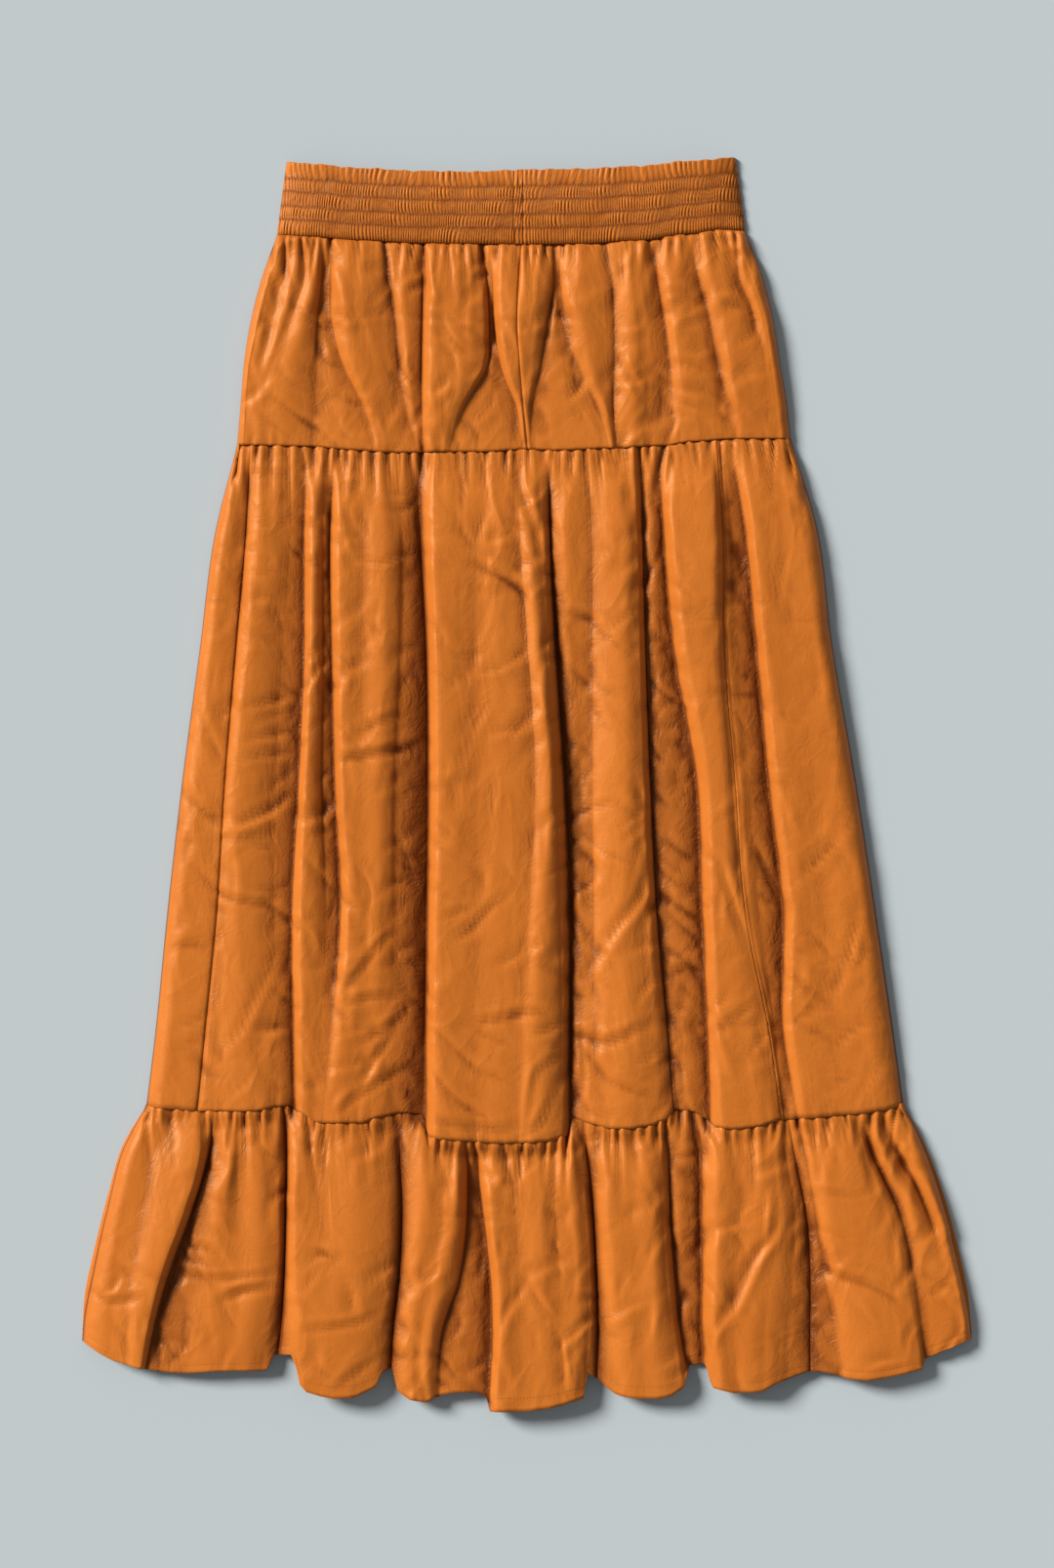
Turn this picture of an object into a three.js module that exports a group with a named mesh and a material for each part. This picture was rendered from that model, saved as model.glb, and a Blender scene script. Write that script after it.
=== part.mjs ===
// Three-tiered gathered maxi skirt with a wide shirred waistband, laid flat on its back.
// Millimetres. +Z is up, off the surface; +Y runs from the hem to the waistband; +X is to the right.
// The origin is on the resting surface, under the middle of the garment.

import * as THREE from 'three';

// Driving dimensions
const WALL = 1.2; // thickness of every cloth wall
const SEAM_GAP = 0.3; // gap between two pieces sewn together
const WAVY_GAP = 0.7; // the same gap along the waving seam of the ruffle
const LIFT = 3.2; // height that the front folds are measured from
const WAIST_SEAM_HEIGHT = 6; // the front, at the waistband, above LIFT
const WAIST_CROWN = 1.6; // how much the elastic stands higher in the middle of the waistband
const SETTLE = 0.07; // share of a tier's length in which gathers grow out of its upper seam
const DROP_POWER = 6; // how suddenly a seam's own sag shows at the lower end of a tier
const MITRE = 1.7; // most that a wall's offset grows at a sharp fold
const SIDE_FOLD = 3; // reach of the rounded fold where the middle tier's back turns to the front
const FOLD_HALF = 0.7; // how far across from its edge a side fold has risen half way

const CLOTH = { color: 0xc87028, roughness: 0.42, metalness: 0.0 };

// Seam lines: height up the garment at each distance across it, joined by smooth steps
const WAIST_TOP = [
  [-176, 453], [-120, 447], [-60, 445], [0, 446.5], [60, 448], [110, 452], [152, 456],
];
const WAIST_SEAM = [
  [-183, 399.5], [-120, 395], [-60, 392.5], [0, 392], [60, 393.5], [110, 399], [160, 402],
];
const YOKE_SEAM = [[-212, 246.5], [-120, 242.5], [-40, 241.5], [30, 243], [110, 248], [193, 251]];
const RUFFLE_SEAM = [
  [-278, -234], [-215, -237.5], [-176, -235], [-135, -247], [-98, -240], [-52, -257],
  [5, -258], [48, -245], [78, -250], [112, -238], [150, -250], [205, -242], [275, -233],
];
const BACK_YOKE_SEAM = [[-212, 246.5], [-10, 241], [193, 251]];
const BACK_RUFFLE_SEAM = [[-278, -234], [0, -243], [275, -233]];
const BACK_HEM = [[-325, -402], [0, -411], [324, -400]];

// Folds of the front of each tier, from the left side edge to the right one.
// across: place of the fold line at each share of the tier's length; height: above LIFT.
const YOKE = {
  shares: [0, 0.2, 0.4, 0.6, 0.8, 1],
  folds: [
    { name: 'left_edge', across: [-182, -193, -201, -206, -208.5, -211], height: [0, 0, 0, 0, 0, 0] },
    { name: 'side_crest', across: [-175, -186, -194, -201, -204, -205], height: [6, 7, 8, 8, 8, 7] },
    { name: 'side_line', across: [-169, -178, -185, -193, -198, -201], height: [5, 5, 5, 7, 8, 7] },
    { name: 'second_crest', across: [-164, -170, -178, -187, -192, -196], height: [7, 9, 9, 9, 9, 8] },
    { name: 'second_line', across: [-160, -162, -172, -182, -188, -192], height: [5, 5, 6, 9, 9, 8] },
    { name: 'broad_crest', across: [-155, -156, -162, -170, -176, -180], height: [7, 10, 11, 11, 10, 8] },
    { name: 'valley_c', across: [-148, -149.5, -152.5, -153.5, -156, -158], height: [4, 3, 3, 4, 5, 6] },
    { name: 'recess_c', across: [-145, -146, -147, -143, -137, -133], height: [5, 4, 4, 7, 8, 8] },
    { name: 'valley_d', across: [-142, -142.5, -142, -134, -119, -110], height: [4, 3, 3, 4, 5, 7] },
    { name: 'crest_d', across: [-134, -133, -132, -126, -114, -106], height: [7, 13, 13, 12, 10, 8] },
    { name: 'shoulder_d', across: [-113, -111, -109, -107, -104, -100], height: [7, 9, 9, 9, 8, 7] },
    { name: 'valley_e', across: [-101, -99, -95.5, -93, -89, -80], height: [4, 3, 3, 3, 4, 6] },
    { name: 'crest_e', across: [-91, -90, -88, -86, -83, -77.5], height: [7, 11, 11, 10, 8, 7] },
    { name: 'valley_f', across: [-76, -75.5, -76, -76.5, -76.5, -75.5], height: [4, 2, 2, 2, 3, 5] },
    { name: 'crest_f', across: [-68, -69, -70, -70, -70, -70], height: [7, 14, 15, 15, 14, 10] },
    { name: 'dip_f', across: [-60, -61, -61, -61, -62, -64], height: [6, 12, 13, 14, 13, 9] },
    { name: 'second_crest_f', across: [-48, -47, -46, -48, -56, -61], height: [7, 13, 14, 14, 13, 9] },
    { name: 'shoulder_f', across: [-36, -33, -31, -33, -49, -59], height: [6, 10, 11, 12, 11, 8.5] },
    { name: 'valley_g', across: [-32, -29, -27.5, -29, -46, -56], height: [4, 3, 3, 5, 7, 8] },
    { name: 'recess_g', across: [-30, -27, -25.5, -25, -27, -28], height: [5, 4, 4, 7, 8.5, 8] },
    { name: 'valley_h', across: [-27, -25, -23.5, -19, -8, -3], height: [4, 3, 3, 4, 5, 7] },
    { name: 'crest_h', across: [-19, -19, -18, -14, -5, -1], height: [7, 12, 13, 13, 11, 8] },
    { name: 'centre_seam', across: [-4, -6, -7, -5, -2.5, 0.5], height: [6, 12, 13, 12, 10, 8] },
    { name: 'crest_i', across: [6, 8, 6, 3.5, 0.5, 2], height: [7, 12, 12, 11, 9.5, 8] },
    { name: 'valley_i', across: [19, 19, 14, 10, 3.5, 4], height: [4, 3, 4, 5, 6, 7] },
    { name: 'recess_i', across: [21, 21.5, 20, 21, 23, 26], height: [5, 4, 6, 8, 8.5, 8] },
    { name: 'valley_j', across: [23, 24, 27, 36, 50, 60], height: [4, 3, 4, 6, 7, 7] },
    { name: 'crest_j', across: [38, 38, 42, 48, 57, 62], height: [7, 12, 12, 11, 9, 8] },
    { name: 'valley_k', across: [56, 62, 63.5, 63.5, 63, 65], height: [4, 4, 4, 4, 3, 5] },
    { name: 'crest_k', across: [74, 76, 76, 76, 76, 78], height: [7, 12, 12, 12, 12, 9] },
    { name: 'shoulder_k', across: [85, 87, 88, 88, 88, 88], height: [6, 8, 8, 8, 7, 7] },
    { name: 'valley_l', across: [92, 95, 100, 103.5, 105, 103], height: [4, 2, 3, 4, 5, 6] },
    { name: 'crest_l', across: [104, 104, 107, 111, 114, 113], height: [7, 12, 12, 12, 11, 8] },
    { name: 'shoulder_l', across: [113, 117, 124, 131, 137, 142], height: [6, 8, 8, 8, 8, 7] },
    { name: 'valley_m', across: [118, 124, 132, 138, 145, 150], height: [4, 3, 4, 4, 5, 6] },
    { name: 'crest_m', across: [128, 135, 143, 148, 154, 159], height: [7, 11, 12, 12, 11, 8] },
    { name: 'valley_n', across: [143, 154, 165, 171, 173, 175], height: [4, 4, 5, 8, 8, 7] },
    { name: 'side_crest_n', across: [150, 162, 172, 177, 181, 184], height: [6, 8, 9, 9, 8, 7] },
    { name: 'right_edge', across: [159, 171, 179, 184, 189, 192], height: [0, 0, 0, 0, 0, 0] },
  ],
};

const MIDDLE = {
  shares: [0, 0.13, 0.3, 0.5, 0.7, 0.87, 1],
  folds: [
    { name: 'left_edge', across: [-211, -227, -238, -251, -262, -270, -277], height: [0, 0, 0, 0, 0, 0, 0] },
    { name: 'side_crest', across: [-206, -217, -227, -238, -248, -257, -263], height: [9, 9, 9, 9, 9, 9, 9] },
    { name: 'left_seam', across: [-201, -204, -211, -219, -225, -233, -239], height: [5, 5, 6, 9, 9, 9, 9] },
    { name: 'crest_a', across: [-190, -193, -201, -210, -208, -203, -200], height: [9, 13, 14, 14, 13, 13, 13] },
    { name: 'shoulder_a', across: [-173, -173, -179, -184, -185, -182, -182], height: [8, 8, 8, 8, 8, 9, 9] },
    { name: 'valley_b', across: [-160, -162, -162, -166, -171, -170, -169], height: [5, 4, 4, 4, 4, 4, 4] },
    { name: 'crest_b', across: [-153, -155, -156, -160, -163, -163, -162], height: [9, 13, 13, 14, 14, 14, 12] },
    { name: 'shoulder_b', across: [-146, -148, -148, -149, -147, -151, -156], height: [7, 8, 7, 7, 8, 12, 11] },
    { name: 'valley_c', across: [-140, -143, -142, -140, -136, -143, -150], height: [5, 4, 4, 4, 5, 11, 11] },
    { name: 'crest_c', across: [-134, -136, -135, -133, -129, -134, -140], height: [8, 15, 16, 16, 16, 15, 13] },
    { name: 'dip_c', across: [-121, -120, -121, -121, -118, -120, -125], height: [8, 12, 13, 15, 15, 13, 12] },
    { name: 'second_crest_c', across: [-107, -104, -105, -108, -108, -111, -114], height: [8, 15, 16, 16, 15, 13, 12] },
    { name: 'shoulder_c', across: [-91, -91, -92, -96, -96, -97, -98], height: [6, 9, 10, 10, 10, 10, 8] },
    { name: 'valley_d', across: [-79, -77, -73, -72, -73, -74, -74], height: [4, 2, 2, 2, 2, 2, 3] },
    { name: 'crest_d', across: [-67, -67, -65, -64, -65, -66, -66], height: [8, 17, 20, 21, 21, 20, 17] },
    { name: 'dip_d', across: [-38, -38, -40, -38, -38, -40, -38], height: [8, 14, 16, 18, 18, 18, 15] },
    { name: 'second_crest_d', across: [-20, -22, -20, -15, -18, -20, -20], height: [8, 15, 18, 19, 19, 19, 16] },
    { name: 'line_d', across: [-7, -6, 0, 5, 0, -5, -7], height: [7, 12, 14, 17, 18, 18, 15] },
    { name: 'third_crest_d', across: [2, 3, 8, 16, 11, 6, 3], height: [8, 16, 19, 21, 21, 20, 17] },
    { name: 'shoulder_d', across: [9, 11, 15, 22, 24, 25, 24], height: [7, 13, 15, 16, 14, 13, 12] },
    { name: 'valley_e', across: [16, 17, 21, 27, 31, 31, 31], height: [4, 2, 2, 2, 2, 2, 3] },
    { name: 'crest_e', across: [28, 28, 32, 37, 40, 39, 41], height: [8, 13, 9, 7, 7, 8, 8] },
    { name: 'dip_e', across: [42, 46, 47, 47, 48, 48, 50], height: [7, 9, 8, 8, 8, 10, 11] },
    { name: 'second_crest_e', across: [60, 67, 69, 70, 69, 72, 72], height: [8, 15, 16, 17, 17, 16, 14] },
    { name: 'shoulder_e', across: [76, 79, 81, 83, 87, 92, 94], height: [7, 11, 12, 13, 13, 12, 11] },
    { name: 'middle_seam', across: [83, 84, 86, 89.5, 94.5, 102, 107], height: [4, 3, 3, 3, 3, 4, 4] },
    { name: 'plateau_f', across: [88, 91, 95, 105, 109, 114, 119], height: [6, 6, 6, 6, 7, 7, 7] },
    { name: 'valley_f', across: [96, 99, 106, 123, 127, 131, 133], height: [4, 2, 2, 2, 2, 3, 3] },
    { name: 'crest_f', across: [104, 107, 116, 132, 136, 140, 142], height: [8, 15, 16, 15, 14, 14, 13] },
    { name: 'second_crest_f', across: [131, 135, 134, 142, 147, 160, 168], height: [8, 15, 16, 15, 14, 13, 12] },
    { name: 'right_seam', across: [138, 142, 143, 151, 159, 176, 185], height: [6, 8, 9, 11, 11, 9, 9] },
    { name: 'recess_g', across: [141, 148, 152, 160, 169, 180, 189], height: [5, 5, 7, 8, 8, 6, 7] },
    { name: 'valley_g', across: [147, 158, 166, 175, 186, 186, 196], height: [4, 3, 3, 3, 3, 4, 6] },
    { name: 'crest_g', across: [155, 165, 173, 183, 194, 194, 204], height: [8, 13, 14, 14, 13, 13, 11] },
    { name: 'dip_g', across: [170, 183, 195, 206, 214, 220, 225], height: [7, 11, 12, 12, 11, 11, 10] },
    { name: 'second_crest_g', across: [182, 197, 209, 223, 236, 246, 252], height: [8, 11, 12, 12, 12, 12, 10] },
    { name: 'right_edge', across: [192, 211, 222, 239, 254, 266, 274], height: [0, 0, 0, 0, 0, 0, 0] },
  ],
};

// hem: where the fold line ends at the lower edge
const RUFFLE = {
  shares: [0, 0.15, 0.37, 0.6, 0.8, 1],
  folds: [
    { name: 'left_edge', across: [-277, -293, -305, -315, -322, -324], height: [0, 0, 0, 0, 0, 0], hem: -405 },
    { name: 'crest_a', across: [-267, -281, -292, -299, -302, -302], height: [7, 9, 10, 10, 10, 9], hem: -418 },
    { name: 'dip_a', across: [-256, -268, -278, -286, -291, -293], height: [6, 8, 10, 11, 11, 9], hem: -421 },
    { name: 'ridge_a', across: [-238, -238, -249, -265, -275, -281], height: [9, 15, 17, 17, 16, 12], hem: -424.5 },
    { name: 'valley_b', across: [-228, -231, -243, -259, -270, -277], height: [5, 4, 4, 4, 5, 7], hem: -425 },
    { name: 'shoulder_b', across: [-221, -224, -234, -244, -251, -256], height: [8, 9, 9, 8, 8, 8], hem: -427.5 },
    { name: 'crest_b', across: [-216, -216, -221, -225, -228, -230], height: [9, 13, 13, 12, 12, 11], hem: -427 },
    { name: 'dip_b', across: [-210, -210, -212, -211, -212, -215], height: [8, 10, 10, 12, 12, 11], hem: -426 },
    { name: 'second_crest_b', across: [-198, -196, -194, -197, -202, -206], height: [9, 13, 13, 13, 13, 11], hem: -426 },
    { name: 'shoulder_c', across: [-184, -182, -181, -182, -187, -193], height: [6, 10, 10, 10, 10, 9], hem: -426 },
    { name: 'valley_c', across: [-176, -174.5, -175, -176, -178, -181], height: [4, 2, 2, 2, 2, 2], hem: -414 },
    { name: 'crest_c', across: [-162, -165, -168, -167, -164, -162], height: [8, 14, 16, 17, 17, 14], hem: -440 },
    { name: 'dip_c', across: [-147, -151, -152, -149, -146, -146], height: [7, 12, 15, 17, 17, 14], hem: -445 },
    { name: 'second_crest_c', across: [-128, -128, -127, -127, -131, -135], height: [9, 15, 18, 18, 17, 14], hem: -446 },
    { name: 'shoulder_d', across: [-109, -106, -102, -102, -106, -110], height: [6, 10, 13, 13, 12, 10], hem: -438.5 },
    { name: 'valley_d', across: [-91, -92, -91, -93, -97, -99], height: [4, 3, 2, 2, 2, 2], hem: -425 },
    { name: 'crest_d', across: [-67, -71, -76, -80, -83, -85], height: [9, 14, 15, 15, 14, 12], hem: -447 },
    { name: 'dip_d', across: [-59, -60, -63, -70, -77, -80], height: [8, 12, 13, 14, 13, 11.5], hem: -448 },
    { name: 'second_crest_d', across: [-52, -51, -54, -62, -71, -74], height: [9, 14, 15, 15, 14, 12], hem: -448.5 },
    { name: 'valley_e', across: [-44, -43, -44, -50, -62, -65], height: [6, 3, 4, 6, 6, 8], hem: -445 },
    { name: 'recess_e', across: [-40, -39, -38, -40, -45, -48], height: [7, 4, 5, 7, 8, 9], hem: -442 },
    { name: 'valley_f', across: [-36, -35, -30.5, -26.5, -25.5, -28], height: [6, 3, 3, 3, 4, 5], hem: -444 },
    { name: 'crest_f', across: [-28, -28, -24, -20, -19, -22], height: [9, 15, 17, 18, 18, 16], hem: -456 },
    { name: 'dip_f', across: [-11, -11, -9, -7, -6, -5], height: [8, 13, 14, 15, 16, 15], hem: -455.5 },
    { name: 'second_crest_f', across: [8, 9, 9, 11, 13, 13], height: [9, 14, 17, 18, 17, 15], hem: -453 },
    { name: 'second_dip_f', across: [17, 19, 20, 23, 25, 25], height: [8, 12, 13, 15, 15, 14], hem: -451 },
    { name: 'third_crest_f', across: [25, 29, 33, 36, 36, 33], height: [9, 14, 15, 15, 15, 13], hem: -449 },
    { name: 'shoulder_g', across: [31, 37, 42, 45, 45, 41], height: [6, 10, 11, 11, 11, 10], hem: -446 },
    { name: 'valley_g', across: [40, 45, 48.5, 50.5, 51.5, 51], height: [5, 2, 2, 2, 2, 3], hem: -433 },
    { name: 'crest_g', across: [60, 59, 60, 65, 72, 76], height: [9, 15, 17, 17, 16, 13], hem: -446 },
    { name: 'dip_g', across: [72, 73, 76, 79, 82, 86], height: [8, 14, 16, 16, 15, 12.5], hem: -446 },
    { name: 'second_crest_g', across: [85, 87, 90, 92, 93, 97], height: [9, 15, 17, 17, 16, 13], hem: -446 },
    { name: 'shoulder_h', across: [96, 97, 99, 101, 106, 113], height: [7, 11, 12, 12, 11, 10], hem: -441 },
    { name: 'valley_h', across: [103, 103, 104, 107, 111, 118], height: [5, 4, 4, 3, 3, 3], hem: -424 },
    { name: 'plateau_h', across: [111, 110, 112, 114, 118, 122], height: [6, 7, 8, 6, 5, 3.5], hem: -421 },
    { name: 'second_valley_h', across: [125, 126, 126, 127, 126.5, 128], height: [4, 2, 2, 2, 2, 2], hem: -421 },
    { name: 'crest_i', across: [141, 140, 139, 138, 137, 142], height: [9, 15, 16, 17, 17, 14], hem: -441 },
    { name: 'dip_i', across: [154, 154, 153, 150, 149, 153], height: [8, 12, 13, 14, 15, 13], hem: -442 },
    { name: 'second_crest_i', across: [167, 171, 172, 167, 162, 164], height: [9, 13, 15, 15, 16, 14], hem: -441.5 },
    { name: 'shoulder_i', across: [177, 180, 183, 177, 173, 172], height: [8, 11, 13, 14, 14, 13], hem: -440.5 },
    { name: 'slope_i', across: [184, 188, 194, 192, 189, 188], height: [7, 7, 8, 9, 9, 8], hem: -432 },
    { name: 'join_seam', across: [190, 195, 203, 206, 206, 206], height: [5, 4, 3, 3, 4, 5], hem: -427 },
    { name: 'recess_j', across: [197, 202, 209, 215, 222, 226], height: [7, 8, 7, 6, 7, 8], hem: -429 },
    { name: 'crest_j', across: [212, 215, 223, 234, 244, 248], height: [8, 13, 14, 14, 14, 13], hem: -433 },
    { name: 'second_crest_j', across: [233, 238, 250, 261, 268, 272], height: [8, 12, 13, 13, 13, 12], hem: -429 },
    { name: 'shoulder_k', across: [238, 245, 260, 272, 280, 286], height: [6, 9, 11, 12, 11, 10], hem: -425.5 },
    { name: 'valley_k', across: [243, 251, 269, 280, 286, 290], height: [5, 4, 5, 7, 7, 5], hem: -417 },
    { name: 'crest_k', across: [250, 259, 278, 290, 297, 300], height: [8, 9, 9, 9, 9, 8], hem: -413 },
    { name: 'valley_l', across: [258, 269, 289, 301, 307, 309], height: [5, 4, 4, 8, 9, 8], hem: -409 },
    { name: 'side_crest', across: [266, 279, 296, 308, 315, 316.5], height: [7, 8, 8, 8, 8, 7], hem: -406 },
    { name: 'right_edge', across: [274, 288, 303, 314, 321, 324], height: [0, 0, 0, 0, 0, 0], hem: -403 },
  ],
};

// Soft folds pressed into the back: place at the top and the bottom of the tier, width, height
const BACK_FOLDS = {
  yoke: [
    { top: -128, bottom: -150, wide: 22, high: 2.0 }, { top: -74, bottom: -84, wide: 16, high: 2.4 },
    { top: -22, bottom: -30, wide: 20, high: 1.6 }, { top: 34, bottom: 44, wide: 18, high: 2.2 },
    { top: 82, bottom: 104, wide: 24, high: 1.8 }, { top: 126, bottom: 152, wide: 16, high: 2.0 },
  ],
  middle: [
    { top: -150, bottom: -205, wide: 26, high: 2.2 }, { top: -112, bottom: -146, wide: 16, high: 2.6 },
    { top: -66, bottom: -92, wide: 24, high: 2.0 }, { top: -20, bottom: -34, wide: 20, high: 2.6 },
    { top: 26, bottom: 30, wide: 28, high: 2.2 }, { top: 74, bottom: 96, wide: 18, high: 2.4 },
    { top: 118, bottom: 158, wide: 26, high: 2.0 }, { top: 156, bottom: 214, wide: 20, high: 2.4 },
  ],
  ruffle: [
    { top: -226, bottom: -262, wide: 26, high: 2.4 }, { top: -176, bottom: -200, wide: 22, high: 2.6 },
    { top: -126, bottom: -138, wide: 26, high: 2.2 }, { top: -70, bottom: -78, wide: 20, high: 2.6 },
    { top: -18, bottom: -22, wide: 28, high: 2.4 }, { top: 36, bottom: 42, wide: 22, high: 2.6 },
    { top: 88, bottom: 100, wide: 26, high: 2.2 }, { top: 142, bottom: 160, wide: 22, high: 2.6 },
    { top: 196, bottom: 220, wide: 26, high: 2.4 }, { top: 244, bottom: 276, wide: 20, high: 2.2 },
  ],
};

// The waistband front is one low swell, narrowing a little towards its upper edge
const WAIST_MIDDLE = -11.5;
const WAISTBAND = {
  shares: [0, 0.5, 1],
  folds: [-1, -0.955, -0.8, -0.6, -0.4, -0.2, 0.035, 0.2, 0.4, 0.6, 0.8, 0.955, 1].map((side) => {
    const inside = Math.abs(side) < 1;
    const crown = WAIST_CROWN * (1 - side * side);
    return {
      name: side === 0.035 ? 'centre_seam' : `swell_${side}`,
      across: [163.5, 167, 170.5].map((half) => WAIST_MIDDLE + half * side),
      height: inside ? [WAIST_SEAM_HEIGHT, WAIST_SEAM_HEIGHT + crown, WAIST_SEAM_HEIGHT] : [0, 0, 0],
    };
  }),
};

const lerp = THREE.MathUtils.lerp;

// Value of a table of [place, value] rows at one place; steps gives smooth curves without corners
function alongTable(table, place, steps = true) {
  let i = 1;
  while (i < table.length - 1 && place > table[i][0]) i += 1;
  const [place0, value0] = table[i - 1];
  const [place1, value1] = table[i];
  const t = THREE.MathUtils.clamp((place - place0) / (place1 - place0), 0, 1);
  return lerp(value0, value1, steps ? t * t * (3 - 2 * t) : t);
}

// Rise from a valley to a crest: narrow at the valley, round at the crest
function foldRise(t) {
  const u = t ** 0.75;
  return u * u * (3 - 2 * u);
}

// One section across a tier's front: every fold line, and a point halfway between each two
function frontSection(tier, share) {
  const at = (values) => alongTable(tier.shares.map((s, i) => [s, values[i]]), share, false);
  const lines = tier.folds.map(({ name, across, height }) => ({ name, x: at(across), z: LIFT + at(height) }));
  const last = lines.length - 1;
  return lines.flatMap((line, i) => {
    if (i === last) return [line];
    const next = lines[i + 1];
    const [low, high] = line.z < next.z ? [line, next] : [next, line];
    const side = i === 0 || i === last - 1;
    const along = side ? 1 - FOLD_HALF : 0.5;
    return [line, { x: lerp(low.x, high.x, along), z: lerp(low.z, high.z, foldRise(side ? FOLD_HALF : 0.5)) }];
  });
}

// Sections down a tier; just under a seam they still have the shape of the tier above
function frontRows(tier) {
  const above = tier.above ? frontSection(tier.above, 1).map((p) => [p.x, p.z]) : null;
  return tier.rows.map((share) => {
    const settled = above ? THREE.MathUtils.smoothstep(share, 0, SETTLE) : 1;
    const section = frontSection(tier, share);
    const inside = (i) => i > 1 && i < section.length - 2;
    return section.map((p, i) => (
      above && inside(i) ? { ...p, z: lerp(alongTable(above, p.x, false), p.z, settled) } : p
    ));
  });
}

// Offset from the middle of a wall to its outer face, at each point of a section
function wallOffsets(section) {
  const normal = (a, b) => new THREE.Vector2(a.z - b.z, b.x - a.x).normalize();
  return section.map((p, i) => {
    const before = normal(section[Math.max(i - 1, 0)], section[Math.max(i, 1)]);
    const last = section.length - 1;
    const after = normal(section[Math.min(i, last - 1)], section[Math.min(i + 1, last)]);
    const sum = before.add(after);
    const reach = Math.min(MITRE, 2 / sum.length()) * (WALL / 2);
    return sum.setLength(reach);
  });
}

// Height up the garment of a point, between a tier's upper and lower lines
function upAt(lines, x, share) {
  const top = alongTable(lines.top, x) - lines.topGap;
  const bottom = alongTable(lines.bottom, x, !lines.hem) + lines.bottomGap;
  return lerp(top, lines.level, share) + (bottom - lines.level) * share ** DROP_POWER;
}

// Closed wall around rows of middle points, whose two faces and four edges are joined.
// upOf(x, share, column) gives the height up the garment; a landing edge stops just above the back.
function wall(name, rows, shares, upOf, lands = {}) {
  const columns = rows[0].length;
  const rim = WALL + SEAM_GAP;
  const positions = [];
  [1, -1].forEach((face) => rows.forEach((section, r) => {
    const offsets = wallOffsets(section);
    section.forEach((p, c) => {
      const offset = p.offset ?? offsets[c];
      let x = p.x + face * offset.x;
      let z = p.z + face * offset.y;
      const inward = (lands.left && c === 0) - (lands.right && c === columns - 1);
      if (inward) {
        x = p.x + (face > 0 ? 0 : inward * WALL);
        z = rim;
      }
      positions.push(x, upOf(x, shares[r], c), z);
    });
  }));
  const index = [];
  const at = (face, r, c) => (face * rows.length + r) * columns + c;
  const quad = (a, b, c, d) => index.push(a, b, c, a, c, d);
  for (let r = 0; r < rows.length - 1; r += 1) {
    for (let c = 0; c < columns - 1; c += 1) {
      quad(at(0, r, c), at(0, r + 1, c), at(0, r + 1, c + 1), at(0, r, c + 1));
      quad(at(1, r, c), at(1, r, c + 1), at(1, r + 1, c + 1), at(1, r + 1, c));
    }
    quad(at(0, r, 0), at(1, r, 0), at(1, r + 1, 0), at(0, r + 1, 0));
    quad(at(0, r, columns - 1), at(0, r + 1, columns - 1), at(1, r + 1, columns - 1), at(1, r, columns - 1));
  }
  const end = rows.length - 1;
  for (let c = 0; c < columns - 1; c += 1) {
    quad(at(0, 0, c), at(0, 0, c + 1), at(1, 0, c + 1), at(1, 0, c));
    quad(at(0, end, c), at(1, end, c), at(1, end, c + 1), at(0, end, c + 1));
  }
  const geometry = new THREE.BufferGeometry();
  geometry.setAttribute('position', new THREE.Float32BufferAttribute(positions, 3));
  geometry.setIndex(index);
  geometry.computeVertexNormals();
  const mesh = new THREE.Mesh(geometry, new THREE.MeshStandardMaterial(CLOTH));
  mesh.name = name;
  return mesh;
}

// The part of each section between two named fold lines, or from or to the side edge.
// Both sides of a seam are cut along the same line, square to the cloth.
function cut(rows, from, to) {
  return rows.map((section) => {
    const offsets = wallOffsets(section);
    const first = from ? section.findIndex((p) => p.name === from) : 0;
    const last = to ? section.findIndex((p) => p.name === to) : section.length - 1;
    const seamPoint = (column, inward) => {
      const offset = offsets[column];
      const along = new THREE.Vector2(offset.y, -offset.x).setLength((inward * SEAM_GAP) / 2);
      const { x, z } = section[column];
      return { x: x + along.x, z: z + along.y, offset };
    };
    const part = section.slice(first, last + 1);
    if (from) part[0] = seamPoint(first, 1);
    if (to) part[part.length - 1] = seamPoint(last, -1);
    return part;
  });
}

function frontPiece(name, tier, from, to) {
  const lands = { left: !from, right: !to };
  const upOf = (x, share) => upAt(tier.front, x, share);
  return wall(name, cut(frontRows(tier), from, to), tier.rows, upOf, lands);
}

// A section across the back, from left to right: flat on the surface but for its soft folds
function backSection(tier, share, inset) {
  const [left, right] = [tier.folds[0], tier.folds.at(-1)].map((edge) => (
    alongTable(tier.shares.map((s, i) => [s, edge.across[i]]), share, false)
  ));
  const flat = (x) => ({ x, z: WALL / 2 });
  const folds = tier.backFolds.flatMap(({ top, bottom, wide, high }) => {
    const x = lerp(top, bottom, share);
    const swell = high * Math.sin(Math.PI * lerp(0.12, 0.88, share));
    return [[-0.5, 0], [-0.25, 0.55], [0, 1], [0.25, 0.55], [0.5, 0]].map(([side, rise]) => (
      { x: x + side * wide, z: WALL / 2 + swell * rise }
    ));
  });
  return [flat(left + inset), ...folds, flat(right - inset)];
}

function backPiece(name, tier) {
  const rows = tier.rows.map((share) => backSection(tier, share, 0).reverse());
  return wall(name, rows, tier.rows, (x, share) => upAt(tier.back, x, share));
}

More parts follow.
